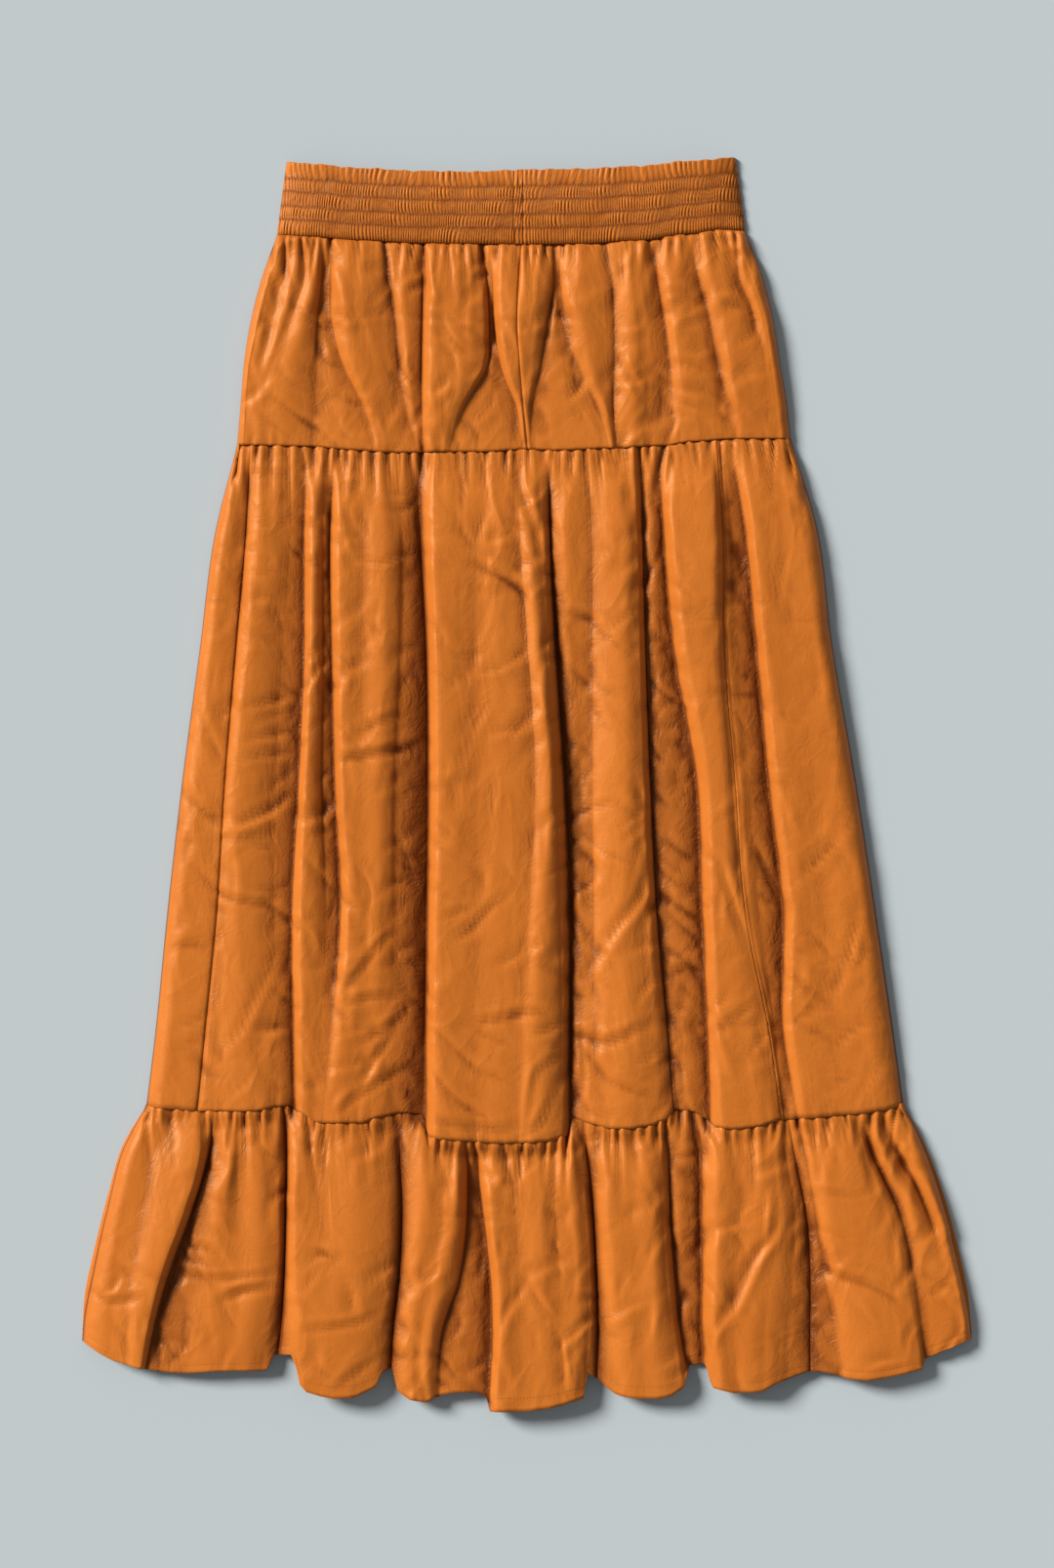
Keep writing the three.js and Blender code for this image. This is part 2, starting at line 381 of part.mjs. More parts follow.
// The middle tier's back turns round both side edges to seams on the front
function wrappedBack(name, tier, leftSeam, rightSeam) {
  const front = frontRows(tier);
  const left = cut(front, null, leftSeam).map((section) => section.slice(1));
  const right = cut(front, rightSeam, null).map((section) => section.slice(0, -1));
  const turn = (x, outwards) => ({ x: x - (outwards * WALL) / 2, z: LIFT });
  const rows = tier.rows.map((share, r) => {
    const section = front[r];
    const under = backSection(tier, share, SIDE_FOLD).reverse();
    return [...right[r], turn(section.at(-1).x, 1), ...under, turn(section[0].x, -1), ...left[r]];
  });
  const firstUnder = right[0].length + 1;
  const lastUnder = firstUnder + backSection(tier, 0, 0).length - 1;
  const upOf = (x, share, column) => (
    upAt(column >= firstUnder && column <= lastUnder ? tier.back : tier.front, x, share)
  );
  return wall(name, rows, tier.rows, upOf);
}

const between = { topGap: SEAM_GAP / 2, bottomGap: SEAM_GAP / 2 };
const hemEnds = RUFFLE.folds.map((fold) => [fold.across.at(-1), fold.hem]);

const waistband = {
  ...WAISTBAND,
  rows: [0, 0.5, 1],
  backFolds: [],
  front: { ...between, topGap: 0, top: WAIST_TOP, bottom: WAIST_SEAM, level: 396 },
};
waistband.back = waistband.front;

const yoke = {
  ...YOKE,
  rows: [0, SETTLE, 0.25, 0.5, 0.75, 1],
  above: waistband,
  backFolds: BACK_FOLDS.yoke,
  front: { ...between, top: WAIST_SEAM, bottom: YOKE_SEAM, level: 245 },
  back: { ...between, top: WAIST_SEAM, bottom: BACK_YOKE_SEAM, level: 245 },
};

const middle = {
  ...MIDDLE,
  rows: [0, SETTLE, 0.2, 0.42, 0.65, 0.85, 1],
  above: yoke,
  backFolds: BACK_FOLDS.middle,
  front: { ...between, bottomGap: WAVY_GAP / 2, top: YOKE_SEAM, bottom: RUFFLE_SEAM, level: -243 },
  back: { ...between, top: BACK_YOKE_SEAM, bottom: BACK_RUFFLE_SEAM, level: -241 },
};

const ruffle = {
  ...RUFFLE,
  rows: [0, SETTLE, 0.22, 0.45, 0.72, 1],
  above: middle,
  backFolds: BACK_FOLDS.ruffle,
  front: { topGap: WAVY_GAP / 2, bottomGap: 0, top: RUFFLE_SEAM, bottom: hemEnds, level: -431, hem: true },
  back: { ...between, bottomGap: 0, top: BACK_RUFFLE_SEAM, bottom: BACK_HEM, level: -408 },
};

const skirt = new THREE.Group();
skirt.add(
  frontPiece('waistband_front_left', waistband, null, 'centre_seam'),
  frontPiece('waistband_front_right', waistband, 'centre_seam', null),
  backPiece('waistband_back', waistband),
  frontPiece('yoke_front_left', yoke, null, 'centre_seam'),
  frontPiece('yoke_front_right', yoke, 'centre_seam', null),
  backPiece('yoke_back', yoke),
  frontPiece('middle_tier_front_left', middle, 'left_seam', 'middle_seam'),
  frontPiece('middle_tier_front_right', middle, 'middle_seam', 'right_seam'),
  wrappedBack('middle_tier_back', middle, 'left_seam', 'right_seam'),
  frontPiece('ruffle_front_left', ruffle, null, 'join_seam'),
  frontPiece('ruffle_front_right', ruffle, 'join_seam', null),
  backPiece('ruffle_back', ruffle),
);

export default skirt;
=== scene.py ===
"""A long three-tiered skirt of thin silky cloth, laid flat on its back.

The front lies in soft folds that are written down as fold lines: where each line runs across the tier at
some shares of its length, and how high it stands. The lines are joined into a surface, gathers are pressed
into it under each seam, creases are laid on it one by one, and small crumples are scattered by a seeded draw.
Lengths in the tables are millimetres; meshes are metres. +Y runs from the hem to the waistband and +Z is up.
"""

import math

import bpy
import numpy as np
from bpy.props import FloatProperty, FloatVectorProperty, IntProperty, PointerProperty
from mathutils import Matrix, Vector


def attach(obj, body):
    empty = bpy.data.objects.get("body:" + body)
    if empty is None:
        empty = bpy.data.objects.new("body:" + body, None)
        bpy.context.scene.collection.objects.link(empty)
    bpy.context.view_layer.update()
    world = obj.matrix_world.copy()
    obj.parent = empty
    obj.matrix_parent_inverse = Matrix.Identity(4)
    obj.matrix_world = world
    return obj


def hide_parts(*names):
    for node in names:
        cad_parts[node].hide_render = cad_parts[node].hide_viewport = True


bl_info = {
    "name": "Tiered gathered skirt",
    "version": (1, 0, 0),
    "blender": (4, 5, 0),
    "location": "3D View > Sidebar > Skirt",
    "description": "Builds a long tiered skirt laid flat, with its gathers, creases and stitching",
    "category": "Add Mesh",
}

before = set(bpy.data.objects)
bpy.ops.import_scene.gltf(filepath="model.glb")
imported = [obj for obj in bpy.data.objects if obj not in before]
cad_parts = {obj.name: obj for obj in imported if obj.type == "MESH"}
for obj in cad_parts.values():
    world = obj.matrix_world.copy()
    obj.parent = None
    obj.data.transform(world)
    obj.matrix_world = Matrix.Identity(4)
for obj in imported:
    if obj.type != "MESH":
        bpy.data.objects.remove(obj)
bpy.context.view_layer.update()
MM = 0.001

# Fold lines of the front of each tier, from the left side edge to the right one.
# Columns: name, place across at each share of the tier's length, height above LIFT.
LIFT = 3.2
YOKE_SHARES = (0, 0.2, 0.4, 0.6, 0.8, 1)
YOKE_FOLDS = (  # name, across, height
    ("left_edge", (-182, -193, -201, -206, -208.5, -211), (0, 0, 0, 0, 0, 0)),
    ("side_crest", (-175, -186, -194, -201, -204, -205), (6, 7, 8, 8, 8, 7)),
    ("side_line", (-169, -178, -185, -193, -198, -201), (5, 5, 5, 7, 8, 7)),
    ("second_crest", (-164, -170, -178, -187, -192, -196), (7, 9, 9, 9, 9, 8)),
    ("second_line", (-160, -162, -172, -182, -188, -192), (5, 5, 6, 9, 9, 8)),
    ("broad_crest", (-155, -156, -162, -170, -176, -180), (7, 10, 11, 11, 10, 8)),
    ("valley_c", (-148, -149.5, -152.5, -153.5, -156, -158), (4, 3, 3, 4, 5, 6)),
    ("recess_c", (-145, -146, -147, -143, -137, -133), (5, 4, 4, 7, 8, 8)),
    ("valley_d", (-142, -142.5, -142, -134, -119, -110), (4, 3, 3, 4, 5, 7)),
    ("crest_d", (-134, -133, -132, -126, -114, -106), (7, 13, 13, 12, 10, 8)),
    ("shoulder_d", (-113, -111, -109, -107, -104, -100), (7, 9, 9, 9, 8, 7)),
    ("valley_e", (-101, -99, -95.5, -93, -89, -80), (4, 3, 3, 3, 4, 6)),
    ("crest_e", (-91, -90, -88, -86, -83, -77.5), (7, 11, 11, 10, 8, 7)),
    ("valley_f", (-76, -75.5, -76, -76.5, -76.5, -75.5), (4, 2, 2, 2, 3, 5)),
    ("crest_f", (-68, -69, -70, -70, -70, -70), (7, 14, 15, 15, 14, 10)),
    ("dip_f", (-60, -61, -61, -61, -62, -64), (6, 12, 13, 14, 13, 9)),
    ("second_crest_f", (-48, -47, -46, -48, -56, -61), (7, 13, 14, 14, 13, 9)),
    ("shoulder_f", (-36, -33, -31, -33, -49, -59), (6, 10, 11, 12, 11, 8.5)),
    ("valley_g", (-32, -29, -27.5, -29, -46, -56), (4, 3, 3, 5, 7, 8)),
    ("recess_g", (-30, -27, -25.5, -25, -27, -28), (5, 4, 4, 7, 8.5, 8)),
    ("valley_h", (-27, -25, -23.5, -19, -8, -3), (4, 3, 3, 4, 5, 7)),
    ("crest_h", (-19, -19, -18, -14, -5, -1), (7, 12, 13, 13, 11, 8)),
    ("centre_seam", (-4, -6, -7, -5, -2.5, 0.5), (6, 12, 13, 12, 10, 8)),
    ("crest_i", (6, 8, 6, 3.5, 0.5, 2), (7, 12, 12, 11, 9.5, 8)),
    ("valley_i", (19, 19, 14, 10, 3.5, 4), (4, 3, 4, 5, 6, 7)),
    ("recess_i", (21, 21.5, 20, 21, 23, 26), (5, 4, 6, 8, 8.5, 8)),
    ("valley_j", (23, 24, 27, 36, 50, 60), (4, 3, 4, 6, 7, 7)),
    ("crest_j", (38, 38, 42, 48, 57, 62), (7, 12, 12, 11, 9, 8)),
    ("valley_k", (56, 62, 63.5, 63.5, 63, 65), (4, 4, 4, 4, 3, 5)),
    ("crest_k", (74, 76, 76, 76, 76, 78), (7, 12, 12, 12, 12, 9)),
    ("shoulder_k", (85, 87, 88, 88, 88, 88), (6, 8, 8, 8, 7, 7)),
    ("valley_l", (92, 95, 100, 103.5, 105, 103), (4, 2, 3, 4, 5, 6)),
    ("crest_l", (104, 104, 107, 111, 114, 113), (7, 12, 12, 12, 11, 8)),
    ("shoulder_l", (113, 117, 124, 131, 137, 142), (6, 8, 8, 8, 8, 7)),
    ("valley_m", (118, 124, 132, 138, 145, 150), (4, 3, 4, 4, 5, 6)),
    ("crest_m", (128, 135, 143, 148, 154, 159), (7, 11, 12, 12, 11, 8)),
    ("valley_n", (143, 154, 165, 171, 173, 175), (4, 4, 5, 8, 8, 7)),
    ("side_crest_n", (150, 162, 172, 177, 181, 184), (6, 8, 9, 9, 8, 7)),
    ("right_edge", (159, 171, 179, 184, 189, 192), (0, 0, 0, 0, 0, 0)),
)
MIDDLE_SHARES = (0, 0.13, 0.3, 0.5, 0.7, 0.87, 1)
MIDDLE_FOLDS = (  # name, across, height
    ("left_edge", (-211, -227, -238, -251, -262, -270, -277), (0, 0, 0, 0, 0, 0, 0)),
    ("side_crest", (-206, -217, -227, -238, -248, -257, -263), (9, 9, 9, 9, 9, 9, 9)),
    ("left_seam", (-201, -204, -211, -219, -225, -233, -239), (5, 5, 6, 9, 9, 9, 9)),
    ("crest_a", (-190, -193, -201, -210, -208, -203, -200), (9, 13, 14, 14, 13, 13, 13)),
    ("shoulder_a", (-173, -173, -179, -184, -185, -182, -182), (8, 8, 8, 8, 8, 9, 9)),
    ("valley_b", (-160, -162, -162, -166, -171, -170, -169), (5, 4, 4, 4, 4, 4, 4)),
    ("crest_b", (-153, -155, -156, -160, -163, -163, -162), (9, 13, 13, 14, 14, 14, 12)),
    ("shoulder_b", (-146, -148, -148, -149, -147, -151, -156), (7, 8, 7, 7, 8, 12, 11)),
    ("valley_c", (-140, -143, -142, -140, -136, -143, -150), (5, 4, 4, 4, 5, 11, 11)),
    ("crest_c", (-134, -136, -135, -133, -129, -134, -140), (8, 15, 16, 16, 16, 15, 13)),
    ("dip_c", (-121, -120, -121, -121, -118, -120, -125), (8, 12, 13, 15, 15, 13, 12)),
    ("second_crest_c", (-107, -104, -105, -108, -108, -111, -114), (8, 15, 16, 16, 15, 13, 12)),
    ("shoulder_c", (-91, -91, -92, -96, -96, -97, -98), (6, 9, 10, 10, 10, 10, 8)),
    ("valley_d", (-79, -77, -73, -72, -73, -74, -74), (4, 2, 2, 2, 2, 2, 3)),
    ("crest_d", (-67, -67, -65, -64, -65, -66, -66), (8, 17, 20, 21, 21, 20, 17)),
    ("dip_d", (-38, -38, -40, -38, -38, -40, -38), (8, 14, 16, 18, 18, 18, 15)),
    ("second_crest_d", (-20, -22, -20, -15, -18, -20, -20), (8, 15, 18, 19, 19, 19, 16)),
    ("line_d", (-7, -6, 0, 5, 0, -5, -7), (7, 12, 14, 17, 18, 18, 15)),
    ("third_crest_d", (2, 3, 8, 16, 11, 6, 3), (8, 16, 19, 21, 21, 20, 17)),
    ("shoulder_d", (9, 11, 15, 22, 24, 25, 24), (7, 13, 15, 16, 14, 13, 12)),
    ("valley_e", (16, 17, 21, 27, 31, 31, 31), (4, 2, 2, 2, 2, 2, 3)),
    ("crest_e", (28, 28, 32, 37, 40, 39, 41), (8, 13, 9, 7, 7, 8, 8)),
    ("dip_e", (42, 46, 47, 47, 48, 48, 50), (7, 9, 8, 8, 8, 10, 11)),
    ("second_crest_e", (60, 67, 69, 70, 69, 72, 72), (8, 15, 16, 17, 17, 16, 14)),
    ("shoulder_e", (76, 79, 81, 83, 87, 92, 94), (7, 11, 12, 13, 13, 12, 11)),
    ("middle_seam", (83, 84, 86, 89.5, 94.5, 102, 107), (4, 3, 3, 3, 3, 4, 4)),
    ("plateau_f", (88, 91, 95, 105, 109, 114, 119), (6, 6, 6, 6, 7, 7, 7)),
    ("valley_f", (96, 99, 106, 123, 127, 131, 133), (4, 2, 2, 2, 2, 3, 3)),
    ("crest_f", (104, 107, 116, 132, 136, 140, 142), (8, 15, 16, 15, 14, 14, 13)),
    ("second_crest_f", (131, 135, 134, 142, 147, 160, 168), (8, 15, 16, 15, 14, 13, 12)),
    ("right_seam", (138, 142, 143, 151, 159, 176, 185), (6, 8, 9, 11, 11, 9, 9)),
    ("recess_g", (141, 148, 152, 160, 169, 180, 189), (5, 5, 7, 8, 8, 6, 7)),
    ("valley_g", (147, 158, 166, 175, 186, 186, 196), (4, 3, 3, 3, 3, 4, 6)),
    ("crest_g", (155, 165, 173, 183, 194, 194, 204), (8, 13, 14, 14, 13, 13, 11)),
    ("dip_g", (170, 183, 195, 206, 214, 220, 225), (7, 11, 12, 12, 11, 11, 10)),
    ("second_crest_g", (182, 197, 209, 223, 236, 246, 252), (8, 11, 12, 12, 12, 12, 10)),
    ("right_edge", (192, 211, 222, 239, 254, 266, 274), (0, 0, 0, 0, 0, 0, 0)),
)
RUFFLE_SHARES = (0, 0.15, 0.37, 0.6, 0.8, 1)
RUFFLE_FOLDS = (  # name, across, height
    ("left_edge", (-277, -293, -305, -315, -322, -324), (0, 0, 0, 0, 0, 0)),
    ("crest_a", (-267, -281, -292, -299, -302, -302), (7, 9, 10, 10, 10, 9)),
    ("dip_a", (-256, -268, -278, -286, -291, -293), (6, 8, 10, 11, 11, 9)),
    ("ridge_a", (-238, -238, -249, -265, -275, -281), (9, 15, 17, 17, 16, 12)),
    ("valley_b", (-228, -231, -243, -259, -270, -277), (5, 4, 4, 4, 5, 7)),
    ("shoulder_b", (-221, -224, -234, -244, -251, -256), (8, 9, 9, 8, 8, 8)),
    ("crest_b", (-216, -216, -221, -225, -228, -230), (9, 13, 13, 12, 12, 11)),
    ("dip_b", (-210, -210, -212, -211, -212, -215), (8, 10, 10, 12, 12, 11)),
    ("second_crest_b", (-198, -196, -194, -197, -202, -206), (9, 13, 13, 13, 13, 11)),
    ("shoulder_c", (-184, -182, -181, -182, -187, -193), (6, 10, 10, 10, 10, 9)),
    ("valley_c", (-176, -174.5, -175, -176, -178, -181), (4, 2, 2, 2, 2, 2)),
    ("crest_c", (-162, -165, -168, -167, -164, -162), (8, 14, 16, 17, 17, 14)),
    ("dip_c", (-147, -151, -152, -149, -146, -146), (7, 12, 15, 17, 17, 14)),
    ("second_crest_c", (-128, -128, -127, -127, -131, -135), (9, 15, 18, 18, 17, 14)),
    ("shoulder_d", (-109, -106, -102, -102, -106, -110), (6, 10, 13, 13, 12, 10)),
    ("valley_d", (-91, -92, -91, -93, -97, -99), (4, 3, 2, 2, 2, 2)),
    ("crest_d", (-67, -71, -76, -80, -83, -85), (9, 14, 15, 15, 14, 12)),
    ("dip_d", (-59, -60, -63, -70, -77, -80), (8, 12, 13, 14, 13, 11.5)),
    ("second_crest_d", (-52, -51, -54, -62, -71, -74), (9, 14, 15, 15, 14, 12)),
    ("valley_e", (-44, -43, -44, -50, -62, -65), (6, 3, 4, 6, 6, 8)),
    ("recess_e", (-40, -39, -38, -40, -45, -48), (7, 4, 5, 7, 8, 9)),
    ("valley_f", (-36, -35, -30.5, -26.5, -25.5, -28), (6, 3, 3, 3, 4, 5)),
    ("crest_f", (-28, -28, -24, -20, -19, -22), (9, 15, 17, 18, 18, 16)),
    ("dip_f", (-11, -11, -9, -7, -6, -5), (8, 13, 14, 15, 16, 15)),
    ("second_crest_f", (8, 9, 9, 11, 13, 13), (9, 14, 17, 18, 17, 15)),
    ("second_dip_f", (17, 19, 20, 23, 25, 25), (8, 12, 13, 15, 15, 14)),
    ("third_crest_f", (25, 29, 33, 36, 36, 33), (9, 14, 15, 15, 15, 13)),
    ("shoulder_g", (31, 37, 42, 45, 45, 41), (6, 10, 11, 11, 11, 10)),
    ("valley_g", (40, 45, 48.5, 50.5, 51.5, 51), (5, 2, 2, 2, 2, 3)),
    ("crest_g", (60, 59, 60, 65, 72, 76), (9, 15, 17, 17, 16, 13)),
    ("dip_g", (72, 73, 76, 79, 82, 86), (8, 14, 16, 16, 15, 12.5)),
    ("second_crest_g", (85, 87, 90, 92, 93, 97), (9, 15, 17, 17, 16, 13)),
    ("shoulder_h", (96, 97, 99, 101, 106, 113), (7, 11, 12, 12, 11, 10)),
    ("valley_h", (103, 103, 104, 107, 111, 118), (5, 4, 4, 3, 3, 3)),
    ("plateau_h", (111, 110, 112, 114, 118, 122), (6, 7, 8, 6, 5, 3.5)),
    ("second_valley_h", (125, 126, 126, 127, 126.5, 128), (4, 2, 2, 2, 2, 2)),
    ("crest_i", (141, 140, 139, 138, 137, 142), (9, 15, 16, 17, 17, 14)),
    ("dip_i", (154, 154, 153, 150, 149, 153), (8, 12, 13, 14, 15, 13)),
    ("second_crest_i", (167, 171, 172, 167, 162, 164), (9, 13, 15, 15, 16, 14)),
    ("shoulder_i", (177, 180, 183, 177, 173, 172), (8, 11, 13, 14, 14, 13)),
    ("slope_i", (184, 188, 194, 192, 189, 188), (7, 7, 8, 9, 9, 8)),
    ("join_seam", (190, 195, 203, 206, 206, 206), (5, 4, 3, 3, 4, 5)),
    ("recess_j", (197, 202, 209, 215, 222, 226), (7, 8, 7, 6, 7, 8)),
    ("crest_j", (212, 215, 223, 234, 244, 248), (8, 13, 14, 14, 14, 13)),
    ("second_crest_j", (233, 238, 250, 261, 268, 272), (8, 12, 13, 13, 13, 12)),
    ("shoulder_k", (238, 245, 260, 272, 280, 286), (6, 9, 11, 12, 11, 10)),
    ("valley_k", (243, 251, 269, 280, 286, 290), (5, 4, 5, 7, 7, 5)),
    ("crest_k", (250, 259, 278, 290, 297, 300), (8, 9, 9, 9, 9, 8)),
    ("valley_l", (258, 269, 289, 301, 307, 309), (5, 4, 4, 8, 9, 8)),
    ("side_crest", (266, 279, 296, 308, 315, 316.5), (7, 8, 8, 8, 8, 7)),
    ("right_edge", (274, 288, 303, 314, 321, 324), (0, 0, 0, 0, 0, 0)),
)
# Seam lines and hem: height up the garment at each distance across it
WAIST_TOP = (
    (-176, 453), (-160, 451), (-120, 447.5), (-80, 445.5), (-40, 445), (0, 446.5), (40, 447), (80, 449),
    (120, 453), (152, 455.8),
)
WAIST_SEAM = (
    (-183, 399.5), (-160, 398), (-120, 395), (-80, 393), (-40, 392.5), (0, 392), (40, 392.5), (80, 395),
    (120, 400), (140, 403), (160, 402),
)
YOKE_SEAM = (
    (-212, 246.5), (-160, 245.5), (-120, 242.5), (-100, 241), (-30, 241.5), (0, 243.5), (20, 242.5),
    (60, 244), (100, 246), (120, 249), (150, 251), (193, 251),
)
RUFFLE_SEAM = (
    (-278, -234), (-262, -236), (-240, -237.5), (-200, -237.5), (-178, -234), (-172, -234), (-167, -238),
    (-150, -246), (-120, -246), (-108, -242), (-92, -239), (-76, -240), (-71, -256), (-60, -258),
    (-20, -260.5),
    (0, -260), (15, -259), (28, -256), (33, -243), (48, -247), (60, -250), (75, -250), (90, -248), (98, -245),
    (110, -237), (120, -238), (130, -243), (137, -249), (150, -250.5), (165, -249), (185, -244), (200, -243),
    (240, -240), (260, -237), (275, -233),
)
HEM = (
    (-324, -405), (-310, -414), (-300, -419), (-283, -424), (-265, -427), (-248, -428), (-220, -426),
    (-189, -426), (-184, -415), (-169, -414), (-166, -434), (-160, -441), (-150, -444),
    (-140, -446), (-125, -445),
    (-110, -438), (-105, -427), (-98, -425), (-94, -441), (-85, -447), (-73, -449), (-60, -443), (-50, -442),
    (-38, -442), (-29.5, -445), (-27, -455.5), (0, -455), (20, -452), (41, -446), (44, -428), (52, -433),
    (60, -440), (66, -444), (80, -446), (95, -446), (105, -444), (114, -438), (118, -423), (130, -421.5),
    (134, -438), (150, -442), (170, -441), (180, -436), (195, -430), (205, -427), (215, -427), (235, -432),
    (248, -433), (265, -430), (287, -425), (289, -418), (300, -413), (312, -408), (324, -403),
)
BACK_YOKE_SEAM = ((-212, 246.5), (-10, 241), (193, 251))
BACK_RUFFLE_SEAM = ((-278, -234), (0, -243), (275, -233))
BACK_HEM = ((-325, -402), (0, -411), (325, -400))

# Creases laid on the front, one by one.
# Columns: depth, width, and the points the crease runs through.
SOFT, CLEAR, STRONG = (0.75, 3.0), (1.35, 3.3), (2.3, 3.8)
YOKE_CREASES = (
    (CLEAR, ((-190, 285), (-160, 262), (-150, 258))), (SOFT, ((-200, 272), (-170, 250))),
    (SOFT, ((-203, 310), (-198, 290))), (CLEAR, ((-88, 356), (-80, 363), (-75, 366))),
    (STRONG, ((22, 345), (25, 341), (33, 339))), (SOFT, ((28, 300), (37, 291))),
    (CLEAR, ((38, 303), (50, 275), (60, 262))), (SOFT, ((92, 299), (98, 295), (103, 289))),
    (CLEAR, ((108, 280), (130, 270))), (SOFT, ((112, 270), (130, 263))), (SOFT, ((140, 268), (147, 263))),
    (STRONG, ((143, 396), (148, 375), (157, 355), (163, 341), (165, 325))), (CLEAR, ((148, 385), (158, 385))),
    (CLEAR, ((142, 350), (160, 345))), (SOFT, ((-62, 330), (-52, 300), (-56, 272))),
    (SOFT, ((-40, 372), (-46, 340), (-44, 312))), (SOFT, ((-128, 362), (-120, 330), (-112, 300))),
    (SOFT, ((76, 372), (84, 330), (82, 290))),
)
MIDDLE_CREASES = (
    (CLEAR, ((-241, 60), (-232, 38), (-220, 12))), (CLEAR, ((-214, 60), (-226, 48))),
    (STRONG, ((-252, 0), (-238, -18), (-222, -28))),
    (CLEAR, ((-255, -48), (-222, -80), (-190, -88), (-170, -100))), (CLEAR, ((-170, 65), (-205, 55))),
    (SOFT, ((-172, 58), (-200, 42))), (CLEAR, ((-170, 40), (-200, 33))), (SOFT, ((-170, 25), (-195, 18))),
    (STRONG, ((-172, -5), (-190, -20), (-215, -30))), (SOFT, ((-258, -40), (-180, -38))),
    (SOFT, ((-258, -177), (-230, -165))), (SOFT, ((-254, -190), (-232, -182))),
    (CLEAR, ((-180, -110), (-195, -150), (-210, -180), (-226, -195))), (SOFT, ((-200, -210), (-216, -225))),
    (CLEAR, ((-165, -50), (-140, -80))), (SOFT, ((-165, -190), (-150, -235))),
    (STRONG, ((-138, 18), (-120, 20), (-95, 25), (-72, 32))), (CLEAR, ((-125, 37), (-90, 52))),
    (CLEAR, ((-95, -40), (-78, -80))), (CLEAR, ((-133, -150), (-120, -135), (-105, -115), (-88, -100))),
    (CLEAR, ((-133, -160), (-115, -155), (-95, -153))), (SOFT, ((-110, -132), (-75, -128))),
    (CLEAR, ((-125, -190), (-100, -175), (-85, -155))), (CLEAR, ((-125, -225), (-110, -200), (-90, -165))),
    (CLEAR, ((-140, -240), (-125, -228), (-100, -212), (-75, -190))),
    (CLEAR, ((-55, 200), (-46, 180), (-40, 170))), (CLEAR, ((-30, 200), (-35, 184), (-38, 172))),
    (STRONG, ((-40, 160), (-20, 150), (-5, 140), (-1, 130))), (CLEAR, ((-28, 60), (-40, 40), (-50, 10))),
    (STRONG, ((-5, 240), (-5, 215), (4, 190), (9, 165))),
    (CLEAR, ((-65, -122), (-45, -108), (-28, -90), (-12, -76))), (SOFT, ((-65, -98), (-40, -88))),
    (CLEAR, ((-50, -175), (-20, -170), (5, -165), (18, -170))), (SOFT, ((-40, -178), (-10, -190))),
    (CLEAR, ((-72, -172), (-55, -190), (-30, -215))), (CLEAR, ((-72, -205), (-50, -230), (-20, -247))),
    (CLEAR, ((-70, -243), (-45, -248), (-20, -250))), (CLEAR, ((0, -254), (10, -245), (25, -215))),
    (CLEAR, ((0, -254), (6, -215), (12, -205), (28, -195))),
    (CLEAR, ((25, 125), (45, 120), (60, 105), (85, 85))),
    (SOFT, ((22, 100), (30, 70))), (SOFT, ((30, 85), (48, 68))),
    (STRONG, ((88, -65), (80, -85), (60, -110), (42, -140))), (SOFT, ((82, -30), (68, -42))),
    (SOFT, ((90, -140), (82, -155))), (STRONG, ((30, -178), (45, -185), (60, -187), (92, -172))),
    (CLEAR, ((33, -182), (50, -205), (65, -225))), (CLEAR, ((45, -188), (60, -212), (75, -222), (95, -228))),
    (CLEAR, ((100, -40), (118, -55))), (CLEAR, ((98, -80), (125, -100))), (CLEAR, ((97, -90), (128, -118))),
    (CLEAR, ((100, -118), (128, -140))), (SOFT, ((105, -140), (125, -160))),
    (SOFT, ((103, -170), (132, -177))),
    (SOFT, ((125, -37), (133, -55))), (STRONG, ((140, -60), (149, -86), (157, -112))),
    (CLEAR, ((148, -10), (152, -40), (156, -68))), (CLEAR, ((135, -178), (150, -170), (168, -155))),
    (SOFT, ((138, -178), (175, -172))), (CLEAR, ((133, -180), (145, -218))),
    (STRONG, ((163, -40), (178, -75), (190, -88))), (SOFT, ((162, -78), (190, -90))),
    (CLEAR, ((180, -5), (195, -45))), (SOFT, ((182, -20), (190, -50), (195, -82))),
    (SOFT, ((240, -13), (222, -25))), (SOFT, ((240, -22), (220, -35))),
    (CLEAR, ((238, -25), (210, -55), (195, -68))), (SOFT, ((247, -85), (230, -95))),
    (CLEAR, ((243, -90), (235, -115), (215, -160))), (SOFT, ((243, -92), (244, -150))),
    (SOFT, ((243, -115), (258, -128))), (CLEAR, ((190, -170), (210, -160))),
    (CLEAR, ((190, -170), (220, -185))),
    (CLEAR, ((260, -168), (235, -178), (222, -190))), (SOFT, ((262, -195), (240, -225))),
    (SOFT, ((215, -220), (240, -208))), (CLEAR, ((192, 203), (200, 195))), (SOFT, ((205, 163), (213, 163))),
    (SOFT, ((218, 118), (180, 118))),
)
